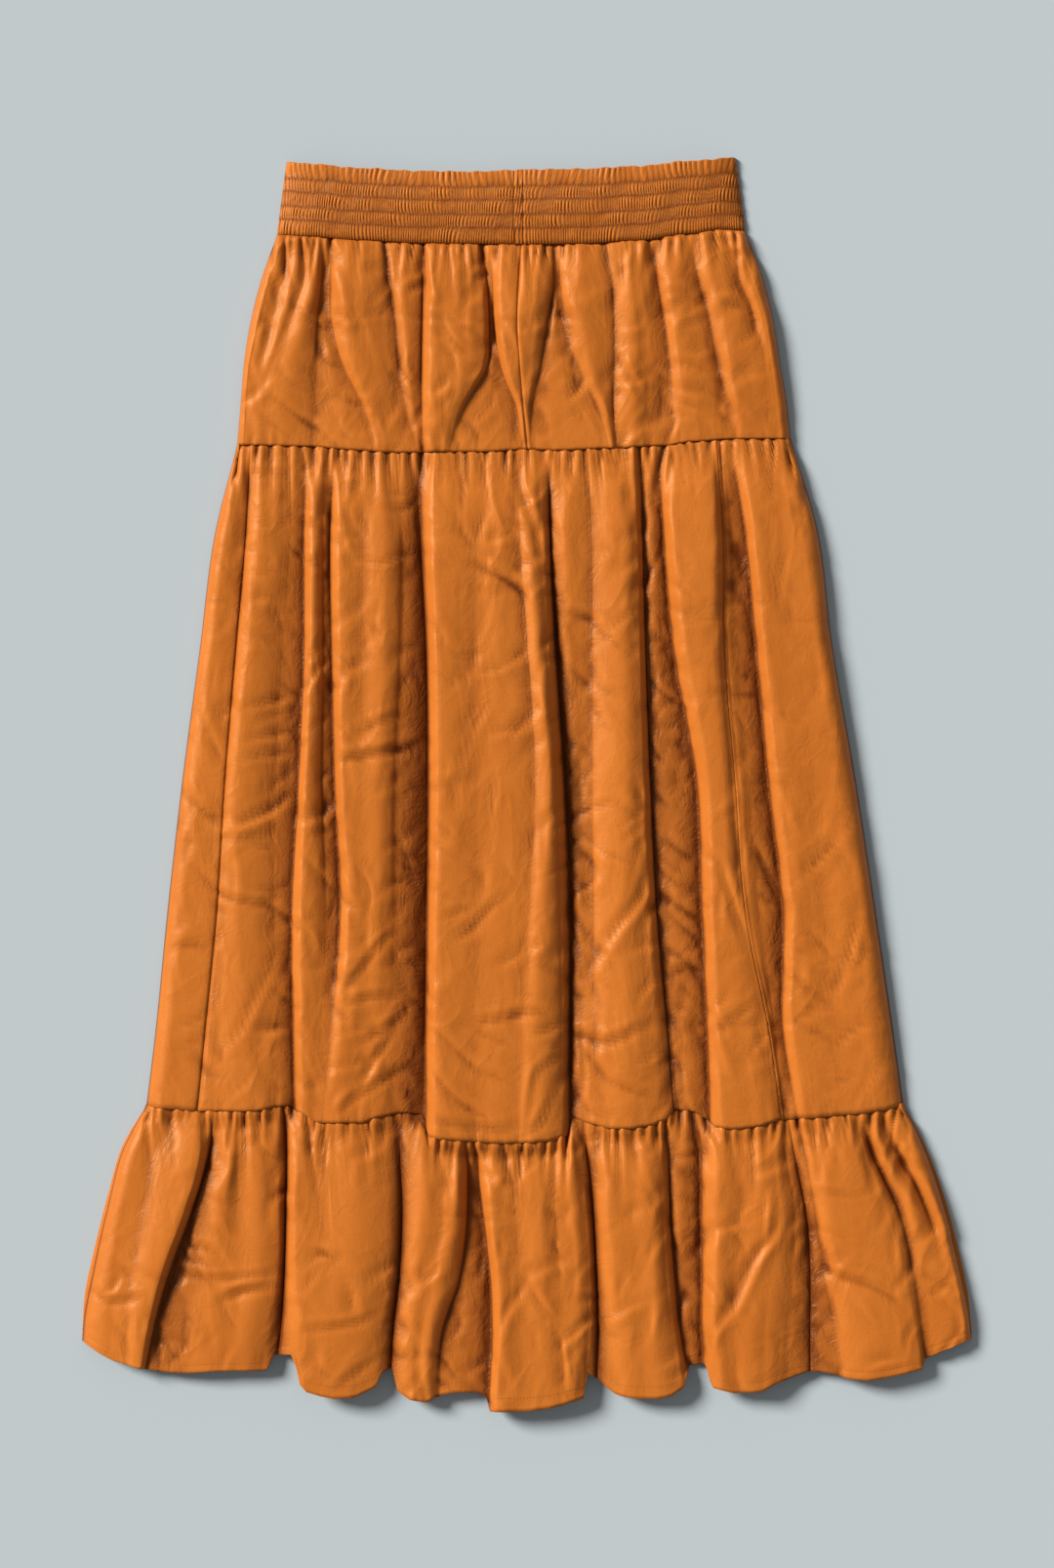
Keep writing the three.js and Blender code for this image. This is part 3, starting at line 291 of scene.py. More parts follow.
RUFFLE_CREASES = (
    (CLEAR, ((-318, -365), (-302, -376), (-276, -371))), (SOFT, ((-300, -390), (-292, -405))),
    (CLEAR, ((-250, -355), (-220, -359), (-180, -355))), (STRONG, ((-222, -375), (-205, -368), (-186, -365))),
    (SOFT, ((-276, -402), (-258, -407))), (CLEAR, ((-155, -338), (-135, -345))),
    (CLEAR, ((-167, -396), (-130, -392), (-110, -385))), (CLEAR, ((-140, -438), (-115, -420))),
    (CLEAR, ((-1, -360), (-14, -380), (-24, -405))), (CLEAR, ((-1, -360), (10, -378), (22, -392))),
    (STRONG, ((182, -320), (165, -345), (150, -375), (133, -398))),
    (CLEAR, ((175, -330), (158, -350), (143, -380))),
    (STRONG, ((208, -300), (215, -340), (222, -355), (250, -365), (275, -380))),
    (SOFT, ((215, -335), (225, -350))), (SOFT, ((210, -295), (240, -300))),
    (STRONG, ((240, -245), (250, -265), (262, -290), (278, -320))),
    (STRONG, ((255, -240), (265, -262), (288, -300), (302, -335))),
    (SOFT, ((314, -350), (300, -367), (290, -370))),
)

# Soft folds pressed into the back. Columns: place at the top and the bottom of the tier, width, height.
YOKE_BACK = (
    (-128, -150, 22, 2.0), (-74, -84, 16, 2.4), (-22, -30, 20, 1.6), (34, 44, 18, 2.2), (82, 104, 24, 1.8),
    (126, 152, 16, 2.0),
)
MIDDLE_BACK = (
    (-150, -205, 26, 2.2), (-112, -146, 16, 2.6), (-66, -92, 24, 2.0), (-20, -34, 20, 2.6), (26, 30, 28, 2.2),
    (74, 96, 18, 2.4), (118, 158, 26, 2.0), (156, 214, 20, 2.4),
)
RUFFLE_BACK = (
    (-226, -262, 26, 2.4), (-176, -200, 22, 2.6), (-126, -138, 26, 2.2), (-70, -78, 20, 2.6),
    (-18, -22, 28, 2.4),
    (36, 42, 22, 2.6), (88, 100, 26, 2.2), (142, 160, 22, 2.6), (196, 220, 26, 2.4), (244, 276, 20, 2.2),
)

# How the cloth is laid
BACK_LEVEL = 0.35  # height of the back's middle surface
EDGE_LEVEL = 0.75  # the front's middle surface at a side edge, where it lies on the back
SETTLE = 0.07  # share of a tier's length in which it leaves the shape of the tier above
DROP_POWER = 6  # how suddenly a seam's own sag shows at the lower end of a tier
OVERHANG = 0.32  # how far the cloth leans over a deep valley
TUCK = 1.2  # how far a tier's upper edge runs under the seam
STEPS = 8  # columns between two fold lines

# How hollows are found; they set the painted shade in the cloth's colour and where crumples gather. Columns:
# reach in columns either side, depth that counts in full, weight.
BROAD_HOLLOW, NARROW_HOLLOW, CREASE_HOLLOW = (22, 6.0, 0.75), (8, 3.0, 0.35), (3, 1.2, 0.35)

ROW_PITCH = {"yoke": 2.0, "middle": 2.5, "ruffle": 2.0}
BACK_STEPS = {"yoke": (60, 130), "middle": (110, 150), "ruffle": (70, 190)}

# Waistband: shares of its height where elastic thread is sewn, rib pitches, and its plain centre seam
SHIRRING_ROWS = (0.0, 0.21, 0.39, 0.59, 0.77, 1.0)
FRILL_PITCH, RIB_PITCH = 4.3, 2.15
WAIST_MIDDLE, WAIST_HALF_TOP, WAIST_HALF_SEAM = -11.5, 163.5, 170.5
WAIST_LIFT, WAIST_CROWN = 8.4, 1.6
CENTRE_STRIP = (-9.4, -2.8)

# Stitching: height over the cloth's middle surface, the hem's turned width, and the ruffle's length
SHIRRING_LIFT, HEM_LIFT = 0.25, 0.22
HEM_TURN, RUFFLE_FRONT, RUFFLE_REAR = 6, 185, 170

# The stage
FLOOR_REACH = 4.0  # metres from the middle of the floor to each side
SUN_HEADING = (0.85, -0.48, -0.67)
LENS, SENSOR = 110, 36

LAID = {}  # finished grids of the fronts and backs, which the stitching follows


def along(table, place, smooth=True):
    """Value of a table of (place, value) rows at each place."""
    places, values = np.array(table, float).T
    i = np.clip(np.searchsorted(places, place), 1, len(places) - 1)
    t = np.clip((place - places[i - 1]) / (places[i] - places[i - 1]), 0, 1)
    t = t * t * (3 - 2 * t) if smooth else t
    return values[i - 1] + (values[i] - values[i - 1]) * t


def glide(shares, columns, at):
    """Smooth curves through each column of values given at some shares, read at other shares."""
    shares, at = np.array(shares, float), np.asarray(at, float)
    slopes = np.gradient(columns, shares, axis=0)
    i = np.clip(np.searchsorted(shares, at), 1, len(shares) - 1)
    span = (shares[i] - shares[i - 1])[:, None]
    t = (at - shares[i - 1])[:, None] / span
    ease = t * t * (3 - 2 * t)
    bend = (t * (1 - t) ** 2) * slopes[i - 1] - (t * t * (1 - t)) * slopes[i]
    return columns[i - 1] * (1 - ease) + columns[i] * ease + bend * span


def front_section(folds, shares, rows):
    """x and z down and across a tier's front: steep at the valleys, round at the crests."""
    x = np.maximum.accumulate(glide(shares, np.array([f[1] for f in folds], float).T, rows), axis=1)
    z = LIFT + glide(shares, np.array([f[2] for f in folds], float).T, rows)
    z[:, 0] = z[:, -1] = EDGE_LEVEL
    x0, x1, z0, z1 = x[:, :-1, None], x[:, 1:, None], z[:, :-1, None], z[:, 1:, None]
    t = np.arange(STEPS) / STEPS
    from_low = np.where(z1 > z0, t, 1 - t)
    eased = from_low**0.75
    rise = eased * eased * (3 - 2 * eased)
    for side in (0, -1):
        rise[:, side] = np.sqrt(1 - (1 - from_low[:, side]) ** 2)
    lean = OVERHANG * np.clip((np.abs(z1 - z0) - 3) / 6, 0, 1)
    lean[:, [0, -1]] = 0
    place = from_low - lean * np.sin(np.pi * from_low) * (1 - from_low)
    place = np.where(z1 > z0, place, 1 - place)
    flat = (len(rows), -1)
    across = np.concatenate([(x0 + (x1 - x0) * place).reshape(flat), x[:, -1:]], axis=1)
    height = (np.minimum(z0, z1) + np.abs(z1 - z0) * rise).reshape(flat)
    return across, np.concatenate([height, z[:, -1:]], axis=1)


def up_the_garment(x, share, top, bottom, level, smooth_bottom=True):
    """Height up the garment of each point, between a tier's upper and lower lines."""
    upper, lower = along(top, x), along(bottom, x, smooth_bottom)
    return upper + (level - upper) * share + (lower - level) * share**DROP_POWER


def across_mean(z, reach):
    """Mean of a grid over some columns either side."""
    padded = np.pad(z, ((0, 0), (reach + 1, reach)), mode="edge").cumsum(axis=1)
    return (padded[:, 2 * reach + 1 :] - padded[:, : -2 * reach - 1]) / (2 * reach + 1)


def hollows(z, strength=1.0):
    """How deep each point lies between its neighbours, from 0 on a crest to 1 in a valley or a crease; it weights
    the painted shade.
    """
    (wide, wide_depth, wide_weight), (slim, slim_depth, slim_weight) = BROAD_HOLLOW, NARROW_HOLLOW
    broad = np.clip((across_mean(z, wide) - z) / wide_depth, 0, 1) * wide_weight
    broad = broad + np.clip((across_mean(z, slim) - z) / slim_depth, 0, 1) * slim_weight
    near, crease_depth, crease_weight = CREASE_HOLLOW
    crease = np.maximum(across_mean(z, near), across_mean(z.T, near).T) - z
    return np.clip(strength * broad + np.clip(crease / crease_depth, 0, 1) * crease_weight, 0, 1)


def press(x, y, z, points, depth, width, shoulder=0.6):
    """Presses one crease into a grid: a trough along a curve, with a raised shoulder beside it."""
    points = np.array(points, float)
    reach = 4 * width
    low, high = points.min(0) - reach, points.max(0) + reach
    near = (x > low[0]) & (x < high[0]) & (y > low[1]) & (y < high[1])
    if not near.any():
        return
    if len(points) > 2:
        knots = np.arange(len(points))
        points = glide(knots, points, np.linspace(0, len(points) - 1, 5 * len(points)))
    px, py = x[near], y[near]
    nearest = np.full(px.shape, np.inf)
    offset, run = np.zeros(px.shape), np.zeros(px.shape)
    for i, (a, b) in enumerate(zip(points[:-1], points[1:])):
        dx, dy = b - a
        t = np.clip(((px - a[0]) * dx + (py - a[1]) * dy) / (dx * dx + dy * dy + 1e-9), 0, 1)
        ex, ey = px - a[0] - t * dx, py - a[1] - t * dy
        away = np.hypot(ex, ey)
        closer = away < nearest
        nearest = np.where(closer, away, nearest)
        offset = np.where(closer, np.sign(dx * ey - dy * ex) * away, offset)
        run = np.where(closer, (i + t) / (len(points) - 1), run)
    taper = np.sin(np.pi * np.clip(run, 0.02, 0.98)) ** 0.6
    ridge = shoulder * np.exp(-(((offset - 1.5 * width) / (1.1 * width)) ** 2))
    z[near] += taper * depth * (ridge - np.exp(-((offset / width) ** 2)))


def gather(x, away, z, draw, pitch, reach, depth, width=1.9):
    """Presses the small pleats of a gathered seam; away is the distance from the seam."""
    place = x.min() + draw.uniform(0, pitch[1])
    while place < x.max():
        length, deep = draw.uniform(*reach), draw.uniform(*depth)
        slant, wide = draw.normal(0, 0.09), width * draw.uniform(0.75, 1.3)
        near = (np.abs(x - place) < 6 * width + 0.4 * length) & (away < length)
        run = np.clip(away[near], 0, None) / length
        offset = (x[near] - place - slant * away[near]) / (wide * (1 + 0.8 * run))
        fade = (1 - run) ** 1.5 * np.clip(0.45 + away[near] / 5, 0, 1)
        z[near] += deep * fade * (0.4 * np.exp(-((offset - 1.9) ** 2)) - np.exp(-(offset**2)))
        place += draw.uniform(*pitch)


def scatter(x, y, z, draw, count, strength):
    """Lays many small crumples on a grid, most of them in the hollows between folds."""
    liking = 0.16 + hollows(z)
    for _ in range(count):
        row, column = draw.integers(x.shape[0]), draw.integers(x.shape[1])
        if draw.uniform() > liking[row, column]:
            continue
        start = np.array([x[row, column], y[row, column]])
        turn, length = draw.normal(0, 0.75), draw.uniform(10, 46)
        heading = np.array([math.sin(turn), -math.cos(turn)])
        bow = np.array([heading[1], -heading[0]]) * draw.normal(0, 0.12) * length
        points = (start, start + heading * length / 2 + bow, start + heading * length)
        depth, width, shoulder = strength * draw.uniform(0.3, 1.1), draw.uniform(2.2, 5.0), draw.uniform(0.3, 0.9)
        press(x, y, z, points, depth, width, shoulder)


def dip(z, offset, depth, width):
    """Sinks a sewn line into a grid."""
    z -= depth * np.exp(-((offset / width) ** 2))


def shell(name, grid, thickness, material, columns=slice(None)):
    """A thin closed sheet round a grid of middle points, whose outer face is up where x grows."""
    x, y, z, hollow_and_shade = (axis[:, columns] for axis in grid)
    middle = np.stack([x, y, z], axis=-1) * MM
    name += "_cloth"
    down = np.gradient(middle, axis=0)
    across = np.gradient(middle, axis=1)
    normal = np.cross(down, across)
    normal /= np.linalg.norm(normal, axis=-1, keepdims=True) + 1e-12
    half = thickness / 2
    points = np.concatenate([(middle + side * half * normal).reshape(-1, 3) for side in (1, -1)])
    index = np.arange(x.size).reshape(x.shape)
    under = index + x.size
    cells = [index[:-1, :-1], index[1:, :-1], index[1:, 1:], index[:-1, 1:]]
    faces = [np.stack([c.ravel() for c in cells], axis=1)]
    faces.append(np.stack([(c + x.size).ravel() for c in reversed(cells)], axis=1))
    rim = np.concatenate([index[0, ::-1], index[1:, 0], index[-1, 1:], index[-2:0:-1, -1]])
    rim_under = np.concatenate([under[0, ::-1], under[1:, 0], under[-1, 1:], under[-2:0:-1, -1]])
    after, after_under = np.roll(rim, -1), np.roll(rim_under, -1)
    faces.append(np.stack([rim, rim_under, after_under, after], axis=1))
    faces = np.concatenate(faces)
    mesh = bpy.data.meshes.new(name)
    mesh.vertices.add(len(points))
    mesh.vertices.foreach_set("co", points.ravel())
    mesh.loops.add(faces.size)
    mesh.loops.foreach_set("vertex_index", faces.ravel())
    mesh.polygons.add(len(faces))
    mesh.polygons.foreach_set("loop_start", np.arange(0, faces.size, 4))
    mesh.polygons.foreach_set("use_smooth", np.ones(len(faces), bool))
    mesh.update(calc_edges=True)
    weft_steps, warp_steps = (np.linalg.norm(np.diff(middle, axis=axis), axis=2) for axis in (1, 0))
    weft = np.concatenate([np.zeros((x.shape[0], 1)), weft_steps.cumsum(1)], axis=1).mean(0)
    warp = np.concatenate([np.zeros((1, x.shape[1])), warp_steps.cumsum(0)]).mean(1)
    place = np.stack([np.broadcast_to(weft, x.shape), np.broadcast_to(warp[:, None], x.shape)], -1)
    layer = mesh.uv_layers.new(name="cloth")
    layer.data.foreach_set("uv", np.tile(place.reshape(-1, 2), (2, 1))[faces.ravel()].ravel())
    # The fourth grid goes on the mesh, where it weights the painted shade and the crinkles.
    darker = mesh.attributes.new("hollow_and_shade", "FLOAT", "POINT")
    darker.data.foreach_set("value", np.tile(hollow_and_shade.ravel(), 2).astype(np.float32))
    mesh.validate()
    piece = bpy.data.objects.new(name, mesh)
    bpy.context.scene.collection.objects.link(piece)
    mesh.materials.append(material)
    return piece


def finish_piece(piece, node):
    """Hangs a sheet of cloth on the root body and hides the imported part of the same name."""
    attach(piece, "root")
    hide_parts(node)


def front_of_tier(key, folds, shares, creases, lines, draw, above=None, crumple=1.0):
    """The laid front of a tier as grids of x, y and z."""
    length = lines["top"][0][1] - lines["level"]
    rows = np.linspace(0, 1, int(length / ROW_PITCH[key]))
    x, z = front_section(folds, shares, rows)
    soft = lines.get("soft", 0.2)
    z[:, STEPS:-STEPS] = (z * (1 - soft) + across_mean(z, 5) * soft)[:, STEPS:-STEPS]
    share = np.broadcast_to(rows[:, None], x.shape)
    y = up_the_garment(x, share, lines["top"], lines["bottom"], lines["level"], lines.get("smooth", True))
    if above is not None:
        order = np.argsort(above[0])
        settled = np.clip(share / SETTLE, 0, 1)
        settled = settled**2 * (3 - 2 * settled)
        inner = slice(STEPS // 2, -STEPS // 2)
        upper = np.interp(x, above[0][order], above[1][order])
        z[:, inner] = (upper * (1 - settled) + z * settled)[:, inner]
    from_top = along(lines["top"], x) - y
    from_bottom = y - along(lines["bottom"], x, lines.get("smooth", True))
    gather(x, from_top, z, draw, lines["pleats"], lines["reach"], lines["deep"])
    gather(x, from_top, z, draw, (4.0, 8.0), (8, 26), (0.6, 1.6), 1.3)
    if "puckers" in lines:
        gather(x, from_bottom, z, draw, (6, 15), lines["puckers"], (0.4, 1.1), 2.0)
    for (depth, width), points in creases:
        press(x, y, z, points, depth, width)
    scatter(x, y, z, draw, lines["crumples"], crumple)
    if above is not None:
        dip(z, from_top - 0.4, 0.9, 1.5)
        y = y + TUCK * np.clip(1 - share * length / 4, 0, 1)
    dip(z, from_bottom, lines.get("pinch", 0.5), 1.6)
    edge = EDGE_LEVEL + 0.5 * (np.minimum(x - x[:, :1], x[:, -1:] - x) > 0.5)
    z = np.maximum(z, edge)
    # The fourth grid weights the painted shade in the hollows.
    return x, y, z, hollows(z)


def back_of_tier(key, folds, shares, ridges, lines, draw):
    """The laid back of a tier, from right to left, flat on the surface but for its soft folds."""
    down, across = BACK_STEPS[key]
    rows = np.linspace(0, 1, down)
    edges = glide(shares, np.array([folds[0][1], folds[-1][1]], float).T, rows)
    side = np.linspace(0, 1, across)
    x = edges[:, 1:] + (edges[:, :1] - edges[:, 1:]) * side
    share = np.broadcast_to(rows[:, None], x.shape)
    y = up_the_garment(x, share, lines["top"], lines["bottom"], lines["level"])
    relief = np.zeros(x.shape)
    for top, bottom, wide, high in ridges:
        t = np.clip(np.abs(x - (top + (bottom - top) * share)) / (wide / 2), 0, 1)
        relief += high * np.sin(np.pi * (0.12 + 0.76 * share)) * (1 + np.cos(np.pi * t)) / 2
    from_top = along(lines["top"], x) - y
    pleats = np.zeros(x.shape)
    gather(x, from_top, pleats, draw, lines["pleats"], lines["reach"], (0.3, 0.9))
    for _ in range(lines["back_creases"]):
        start = np.array([draw.uniform(x.min() * 0.8, x.max() * 0.8), draw.uniform(y.min(), y.max())])
        end = start + np.array([draw.normal(0, 22), draw.uniform(-60, -15)])
        points = (start, (start + end) / 2 + draw.normal(0, 3, 2), end)
        press(x, y, pleats, points, -draw.uniform(0.4, 1.3), 3.2)
    scatter(x, y, pleats, draw, lines["back_creases"], -0.8)
    calm = np.clip(np.minimum(side, 1 - side) * 40, 0, 1)
    z = BACK_LEVEL + relief + calm * np.maximum(-pleats, 0)
    # The fourth grid weights the painted shade, in the hollows as seen from below.
    return x, y, z, hollows(-z, 2.5)


def columns_of(folds, name):
    """Number of the grid column that lies on a named fold line."""
    return STEPS * [f[0] for f in folds].index(name)


class Wire:
    """A shader socket that takes part in sums."""

    def __init__(self, tree, socket):
        self.tree, self.socket = tree, socket

    def _sum(self, operation, first, second):
        values = [v.socket if isinstance(v, Wire) else v for v in (first, second)]
        return place_node(self.tree, "ShaderNodeMath", {"operation": operation}, dict(enumerate(values)))

    def __add__(self, other):
        return self._sum("ADD", self, other)

    def __radd__(self, other):
        return self._sum("ADD", other, self)

    def __sub__(self, other):
        return self._sum("SUBTRACT", self, other)

    def __rsub__(self, other):
        return self._sum("SUBTRACT", other, self)

    def __mul__(self, other):
        return self._sum("MULTIPLY", self, other)

    def __rmul__(self, other):
        return self._sum("MULTIPLY", other, self)

    def __pow__(self, other):
        return self._sum("POWER", self, other)


def place_node(tree, kind, settings=None, inputs=None, output=0):
    """Adds a node with its settings and the values or links of its sockets, and gives one output."""
    made = tree.nodes.new(kind)
    for key, value in (settings or {}).items():
        setattr(made, key, value)
    for key, value in (inputs or {}).items():
        source = value.socket if isinstance(value, Wire) else value
        if isinstance(source, bpy.types.NodeSocket):
            tree.links.new(source, made.inputs[key])
        else:
            made.inputs[key].default_value = source
    return Wire(tree, made.outputs[output]) if len(made.outputs) else made


def cloth_material(colours):
    """Thin silky plain weave: threads, slubs, a soft sheen, crinkles that are denser in the hollows, and painted
    shade that darkens the hollows and the crinkles' troughs.
    """
    material = bpy.data.materials.new("silky_cloth")
    material.use_nodes = True
    tree = material.node_tree
    tree.nodes.clear()
    cloth = place_node(tree, "ShaderNodeUVMap", {"uv_map": "cloth"})
    metres = place_node(tree, "ShaderNodeTexCoord", output="Object")
    hollow_and_shade = place_node(tree, "ShaderNodeAttribute", {"attribute_name": "hollow_and_shade"}, output="Fac")

    def stretched(vector, stretch):
        return place_node(tree, "ShaderNodeMapping", None, {"Vector": vector, "Scale": stretch})

    def noise(vector, stretch, detail, distortion=0.0):
        settings = {"Vector": stretched(vector, stretch), "Scale": 1.0, "Detail": detail}
        settings["Distortion"] = distortion
        return place_node(tree, "ShaderNodeTexNoise", None, settings)

    def crinkle(stretch, distortion):
        swing = noise(metres, stretch, 2, distortion) * 2 - 1
        return 1 - place_node(tree, "ShaderNodeMath", {"operation": "ABSOLUTE"}, {0: swing})

    slub = (noise(cloth, (45, 1900, 1), 1) + noise(cloth, (1900, 45, 1), 1)) * 0.5
    shade, grain = noise(metres, (30, 14, 30), 3, 0.5), noise(cloth, (900, 900, 1), 2)
    broad, sharp = crinkle((24, 15, 15), 0.8), crinkle((60, 42, 40), 1.4)
    small = crinkle((150, 110, 100), 1.8)
    roughened = 0.25 + hollow_and_shade * 1.1
    height = broad * 0.55 + (sharp * 0.42 + small * 0.16) * roughened + slub * 0.03
    # Painted light and shade along the crinkles: lighter on their ridges, darker between them, more so in the
    # hollows; the rest of the tone is random.
    tone = (shade - 0.5) * 0.8 + (slub - 0.5) * 0.5 + (sharp - 0.75) * 0.35 * roughened + 0.62
    face = place_node(
        tree, "ShaderNodeMix", {"data_type": "RGBA", "clamp_factor": True},
        {0: tone, 6: (*colours.shaded, 1), 7: (*colours.lit, 1)}, 2,
    )
    # Painted shade: the hollows between folds, creases and waistband ribs are painted towards the deep colour.
    colour = place_node(
        tree, "ShaderNodeMix", {"data_type": "RGBA", "clamp_factor": True},
        {0: hollow_and_shade, 6: face, 7: (*colours.deep, 1)}, 2,
    )
    roughness = 0.43 + (grain - 0.5) * 0.14 + (shade - 0.5) * 0.10
    bump = place_node(tree, "ShaderNodeBump", None, {"Strength": 0.9, "Distance": 0.0024, "Height": height})
    surface = place_node(
        tree,
        "ShaderNodeBsdfPrincipled",
        None,
        {
            "Base Color": colour,
            "Roughness": roughness,
            "Normal": bump,
            "Sheen Weight": 0.12,
            "Sheen Roughness": 0.4,
            "Sheen Tint": (1.0, 0.6, 0.3, 1),
            "Specular IOR Level": 0.24,
            "Specular Tint": (1.0, 0.72, 0.42, 1),
        },
    )
    place_node(tree, "ShaderNodeOutputMaterial", None, {"Surface": surface})
    return material


def thread_material(colours):
    """Sewing thread, a little duller and darker than the cloth."""
    material = bpy.data.materials.new("sewing_thread")
    material.use_nodes = True
    tree = material.node_tree
    tree.nodes.clear()
    metres = place_node(tree, "ShaderNodeTexCoord", output="Object")
    twist = place_node(tree, "ShaderNodeTexNoise", None, {"Vector": metres, "Scale": 2600.0, "Detail": 1.0})
    colour = place_node(
        tree, "ShaderNodeMix", {"data_type": "RGBA"},
        {0: twist, 6: (*colours.thread, 1), 7: (*colours.shaded, 1)}, 2,
    )
    surface = place_node(
        tree, "ShaderNodeBsdfPrincipled", None,
        {"Base Color": colour, "Roughness": 0.6 + (twist - 0.5) * 0.2},
    )
    place_node(tree, "ShaderNodeOutputMaterial", None, {"Surface": surface})
    return material


def cloth_of(scene):
    return bpy.data.materials.get("silky_cloth") or cloth_material(scene.skirt_colours)


def stitch_tree():
    """Geometry nodes that sew short stitches along every edge path of a mesh."""
    tree = bpy.data.node_groups.new("Stitches", "GeometryNodeTree")
    face = tree.interface
    face.new_socket("Paths", in_out="INPUT", socket_type="NodeSocketGeometry")
    for name, default in (("Pitch", 0.0024), ("Stitch Length", 0.0018), ("Thread Radius", 0.0002)):
        face.new_socket(name, in_out="INPUT", socket_type="NodeSocketFloat").default_value = default
    face.new_socket("Seed", in_out="INPUT", socket_type="NodeSocketInt").default_value = 4
    face.new_socket("Material", in_out="INPUT", socket_type="NodeSocketMaterial")
    face.new_socket("Stitches", in_out="OUTPUT", socket_type="NodeSocketGeometry")
    start = tree.nodes.new("NodeGroupInput").outputs
    inputs = {socket.name: Wire(tree, socket) for socket in start if socket.name}

    def join(kind, settings=None, values=None, output=0):
        return place_node(tree, kind, settings, values, output)

    curve = join("GeometryNodeMeshToCurve", None, {"Mesh": inputs["Paths"]})
    spaced = join("GeometryNodeResampleCurve", {"mode": "LENGTH"}, {"Curve": curve, "Length": inputs["Pitch"]})
    grain = join("GeometryNodeMeshIcoSphere", None, {"Radius": 1.0, "Subdivisions": 1})
    half = join("ShaderNodeMath", {"operation": "MULTIPLY"}, {0: inputs["Stitch Length"], 1: 0.5})
    radius = inputs["Thread Radius"]
    size = join("ShaderNodeCombineXYZ", None, {0: radius, 1: radius, 2: half})
    stitch = join("GeometryNodeTransform", None, {"Geometry": grain, "Scale": size})
    tangent = join("GeometryNodeInputTangent")
    heading = join("FunctionNodeAlignRotationToVector", {"axis": "Z"}, {"Vector": tangent})
    uneven = join(
        "FunctionNodeRandomValue", {"data_type": "FLOAT"}, {2: 0.8, 3: 1.15, "Seed": inputs["Seed"]}, 1
    )
    rows = join(
        "GeometryNodeInstanceOnPoints",
        None,
        {"Points": spaced, "Instance": stitch, "Rotation": heading, "Scale": uneven},
    )
    real = join("GeometryNodeRealizeInstances", None, {"Geometry": rows})
    done = join("GeometryNodeSetMaterial", None, {"Geometry": real, "Material": inputs["Material"]})
    end = tree.nodes.new("NodeGroupOutput")
    tree.links.new(done.socket, end.inputs[0])
    return tree


def sew(name, paths, settings, material):
    """Sews stitches along some paths, given in millimetres, and makes them a plain mesh."""
    points, edges = [], []
    for path in paths:
        first = len(points)
        points += [tuple(p * MM for p in point) for point in path]
        edges += [(i, i + 1) for i in range(first, len(points) - 1)]
    mesh = bpy.data.meshes.new(name + "_paths")
    mesh.from_pydata(points, edges, [])
    source = bpy.data.objects.new(name + "_paths", mesh)
    bpy.context.scene.collection.objects.link(source)
    tree = bpy.data.node_groups.get("Stitches") or stitch_tree()
    modifier = source.modifiers.new("Stitches", "NODES")
    modifier.node_group = tree
    values = {
        "Pitch": settings.pitch,
        "Stitch Length": settings.length,
        "Thread Radius": settings.radius,
        "Seed": settings.seed,
        "Material": material,
    }
    for item in tree.interface.items_tree:
        if item.in_out == "INPUT" and item.name in values:
            modifier[item.identifier] = values[item.name]
    source.update_tag()
    made = bpy.data.meshes.new_from_object(source.evaluated_get(bpy.context.evaluated_depsgraph_get()))
    bpy.data.objects.remove(source)
    if not made.polygons:
        raise RuntimeError(f"no stitches were sewn for {name}")
    made.name = name
    made.polygons.foreach_set("use_smooth", np.ones(len(made.polygons), bool))
    piece = bpy.data.objects.new(name, made)
    bpy.context.scene.collection.objects.link(piece)
    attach(piece, "root")
    return piece


def row_path(grid, share, lift):
    """Path across a grid at one share of its rows, a little above its middle surface."""
    place = share * (grid[0].shape[0] - 1)
    low = min(int(place), grid[0].shape[0] - 2)
    part = place - low
    x, y, z = ((1 - part) * axis[low] + part * axis[low + 1] for axis in grid[:3])
    return list(zip(x, y, z + lift))


class SkirtCloth(bpy.types.PropertyGroup):
    thickness: FloatProperty(
        name="Thickness", description="Thickness of the cloth", default=0.0004, unit="LENGTH"
    )
    crumple: FloatProperty(
        name="Crumple", description="Depth of the small crumples", default=1.0, min=0, max=3
    )
    seed: IntProperty(name="Seed", description="Which way the gathers and crumples fall", default=11)


class SkirtStitching(bpy.types.PropertyGroup):
    pitch: FloatProperty(
        name="Pitch", description="Distance between stitches", default=0.0024, unit="LENGTH"
    )
    length: FloatProperty(
        name="Length", description="Length of one stitch", default=0.0018, unit="LENGTH"
    )
    radius: FloatProperty(
        name="Thread radius", description="Half the thread's width", default=0.00019, unit="LENGTH"
    )
    seed: IntProperty(name="Seed", description="Unevenness of the stitches", default=4)


class SkirtColours(bpy.types.PropertyGroup):
    lit: FloatVectorProperty(
        name="Cloth", description="Lighter colour of the cloth", subtype="COLOR", default=(0.53, 0.150, 0.019)
    )
    shaded: FloatVectorProperty(
        name="Cloth shade", description="Deeper colour of the cloth", subtype="COLOR",
        default=(0.38, 0.094, 0.010),
    )
    # Painted shade: the colour that the cloth's hollows are painted towards.
    deep: FloatVectorProperty(
        name="Hollows", description="Colour of the cloth deep between folds", subtype="COLOR",
        default=(0.135, 0.028, 0.003),
    )
    thread: FloatVectorProperty(
        name="Thread", description="Colour of the sewing thread", subtype="COLOR", default=(0.26, 0.060, 0.007)
    )
    floor: FloatVectorProperty(
        name="Floor", description="Colour of the floor", subtype="COLOR", default=(0.405, 0.447, 0.463)
    )


class SkirtLight(bpy.types.PropertyGroup):
    key: FloatProperty(name="Key", description="Strength of the main light", default=5.7)
    key_softness: FloatProperty(
        name="Softness", description="Angle that the main light fills", subtype="ANGLE",
        default=math.radians(20),
    )
    fill: FloatProperty(name="Fill", description="Light from all round", default=0.30)
    frame_height: FloatProperty(
        name="Frame height", description="Length of surface that the camera takes in", unit="LENGTH",
        default=1.14,
    )


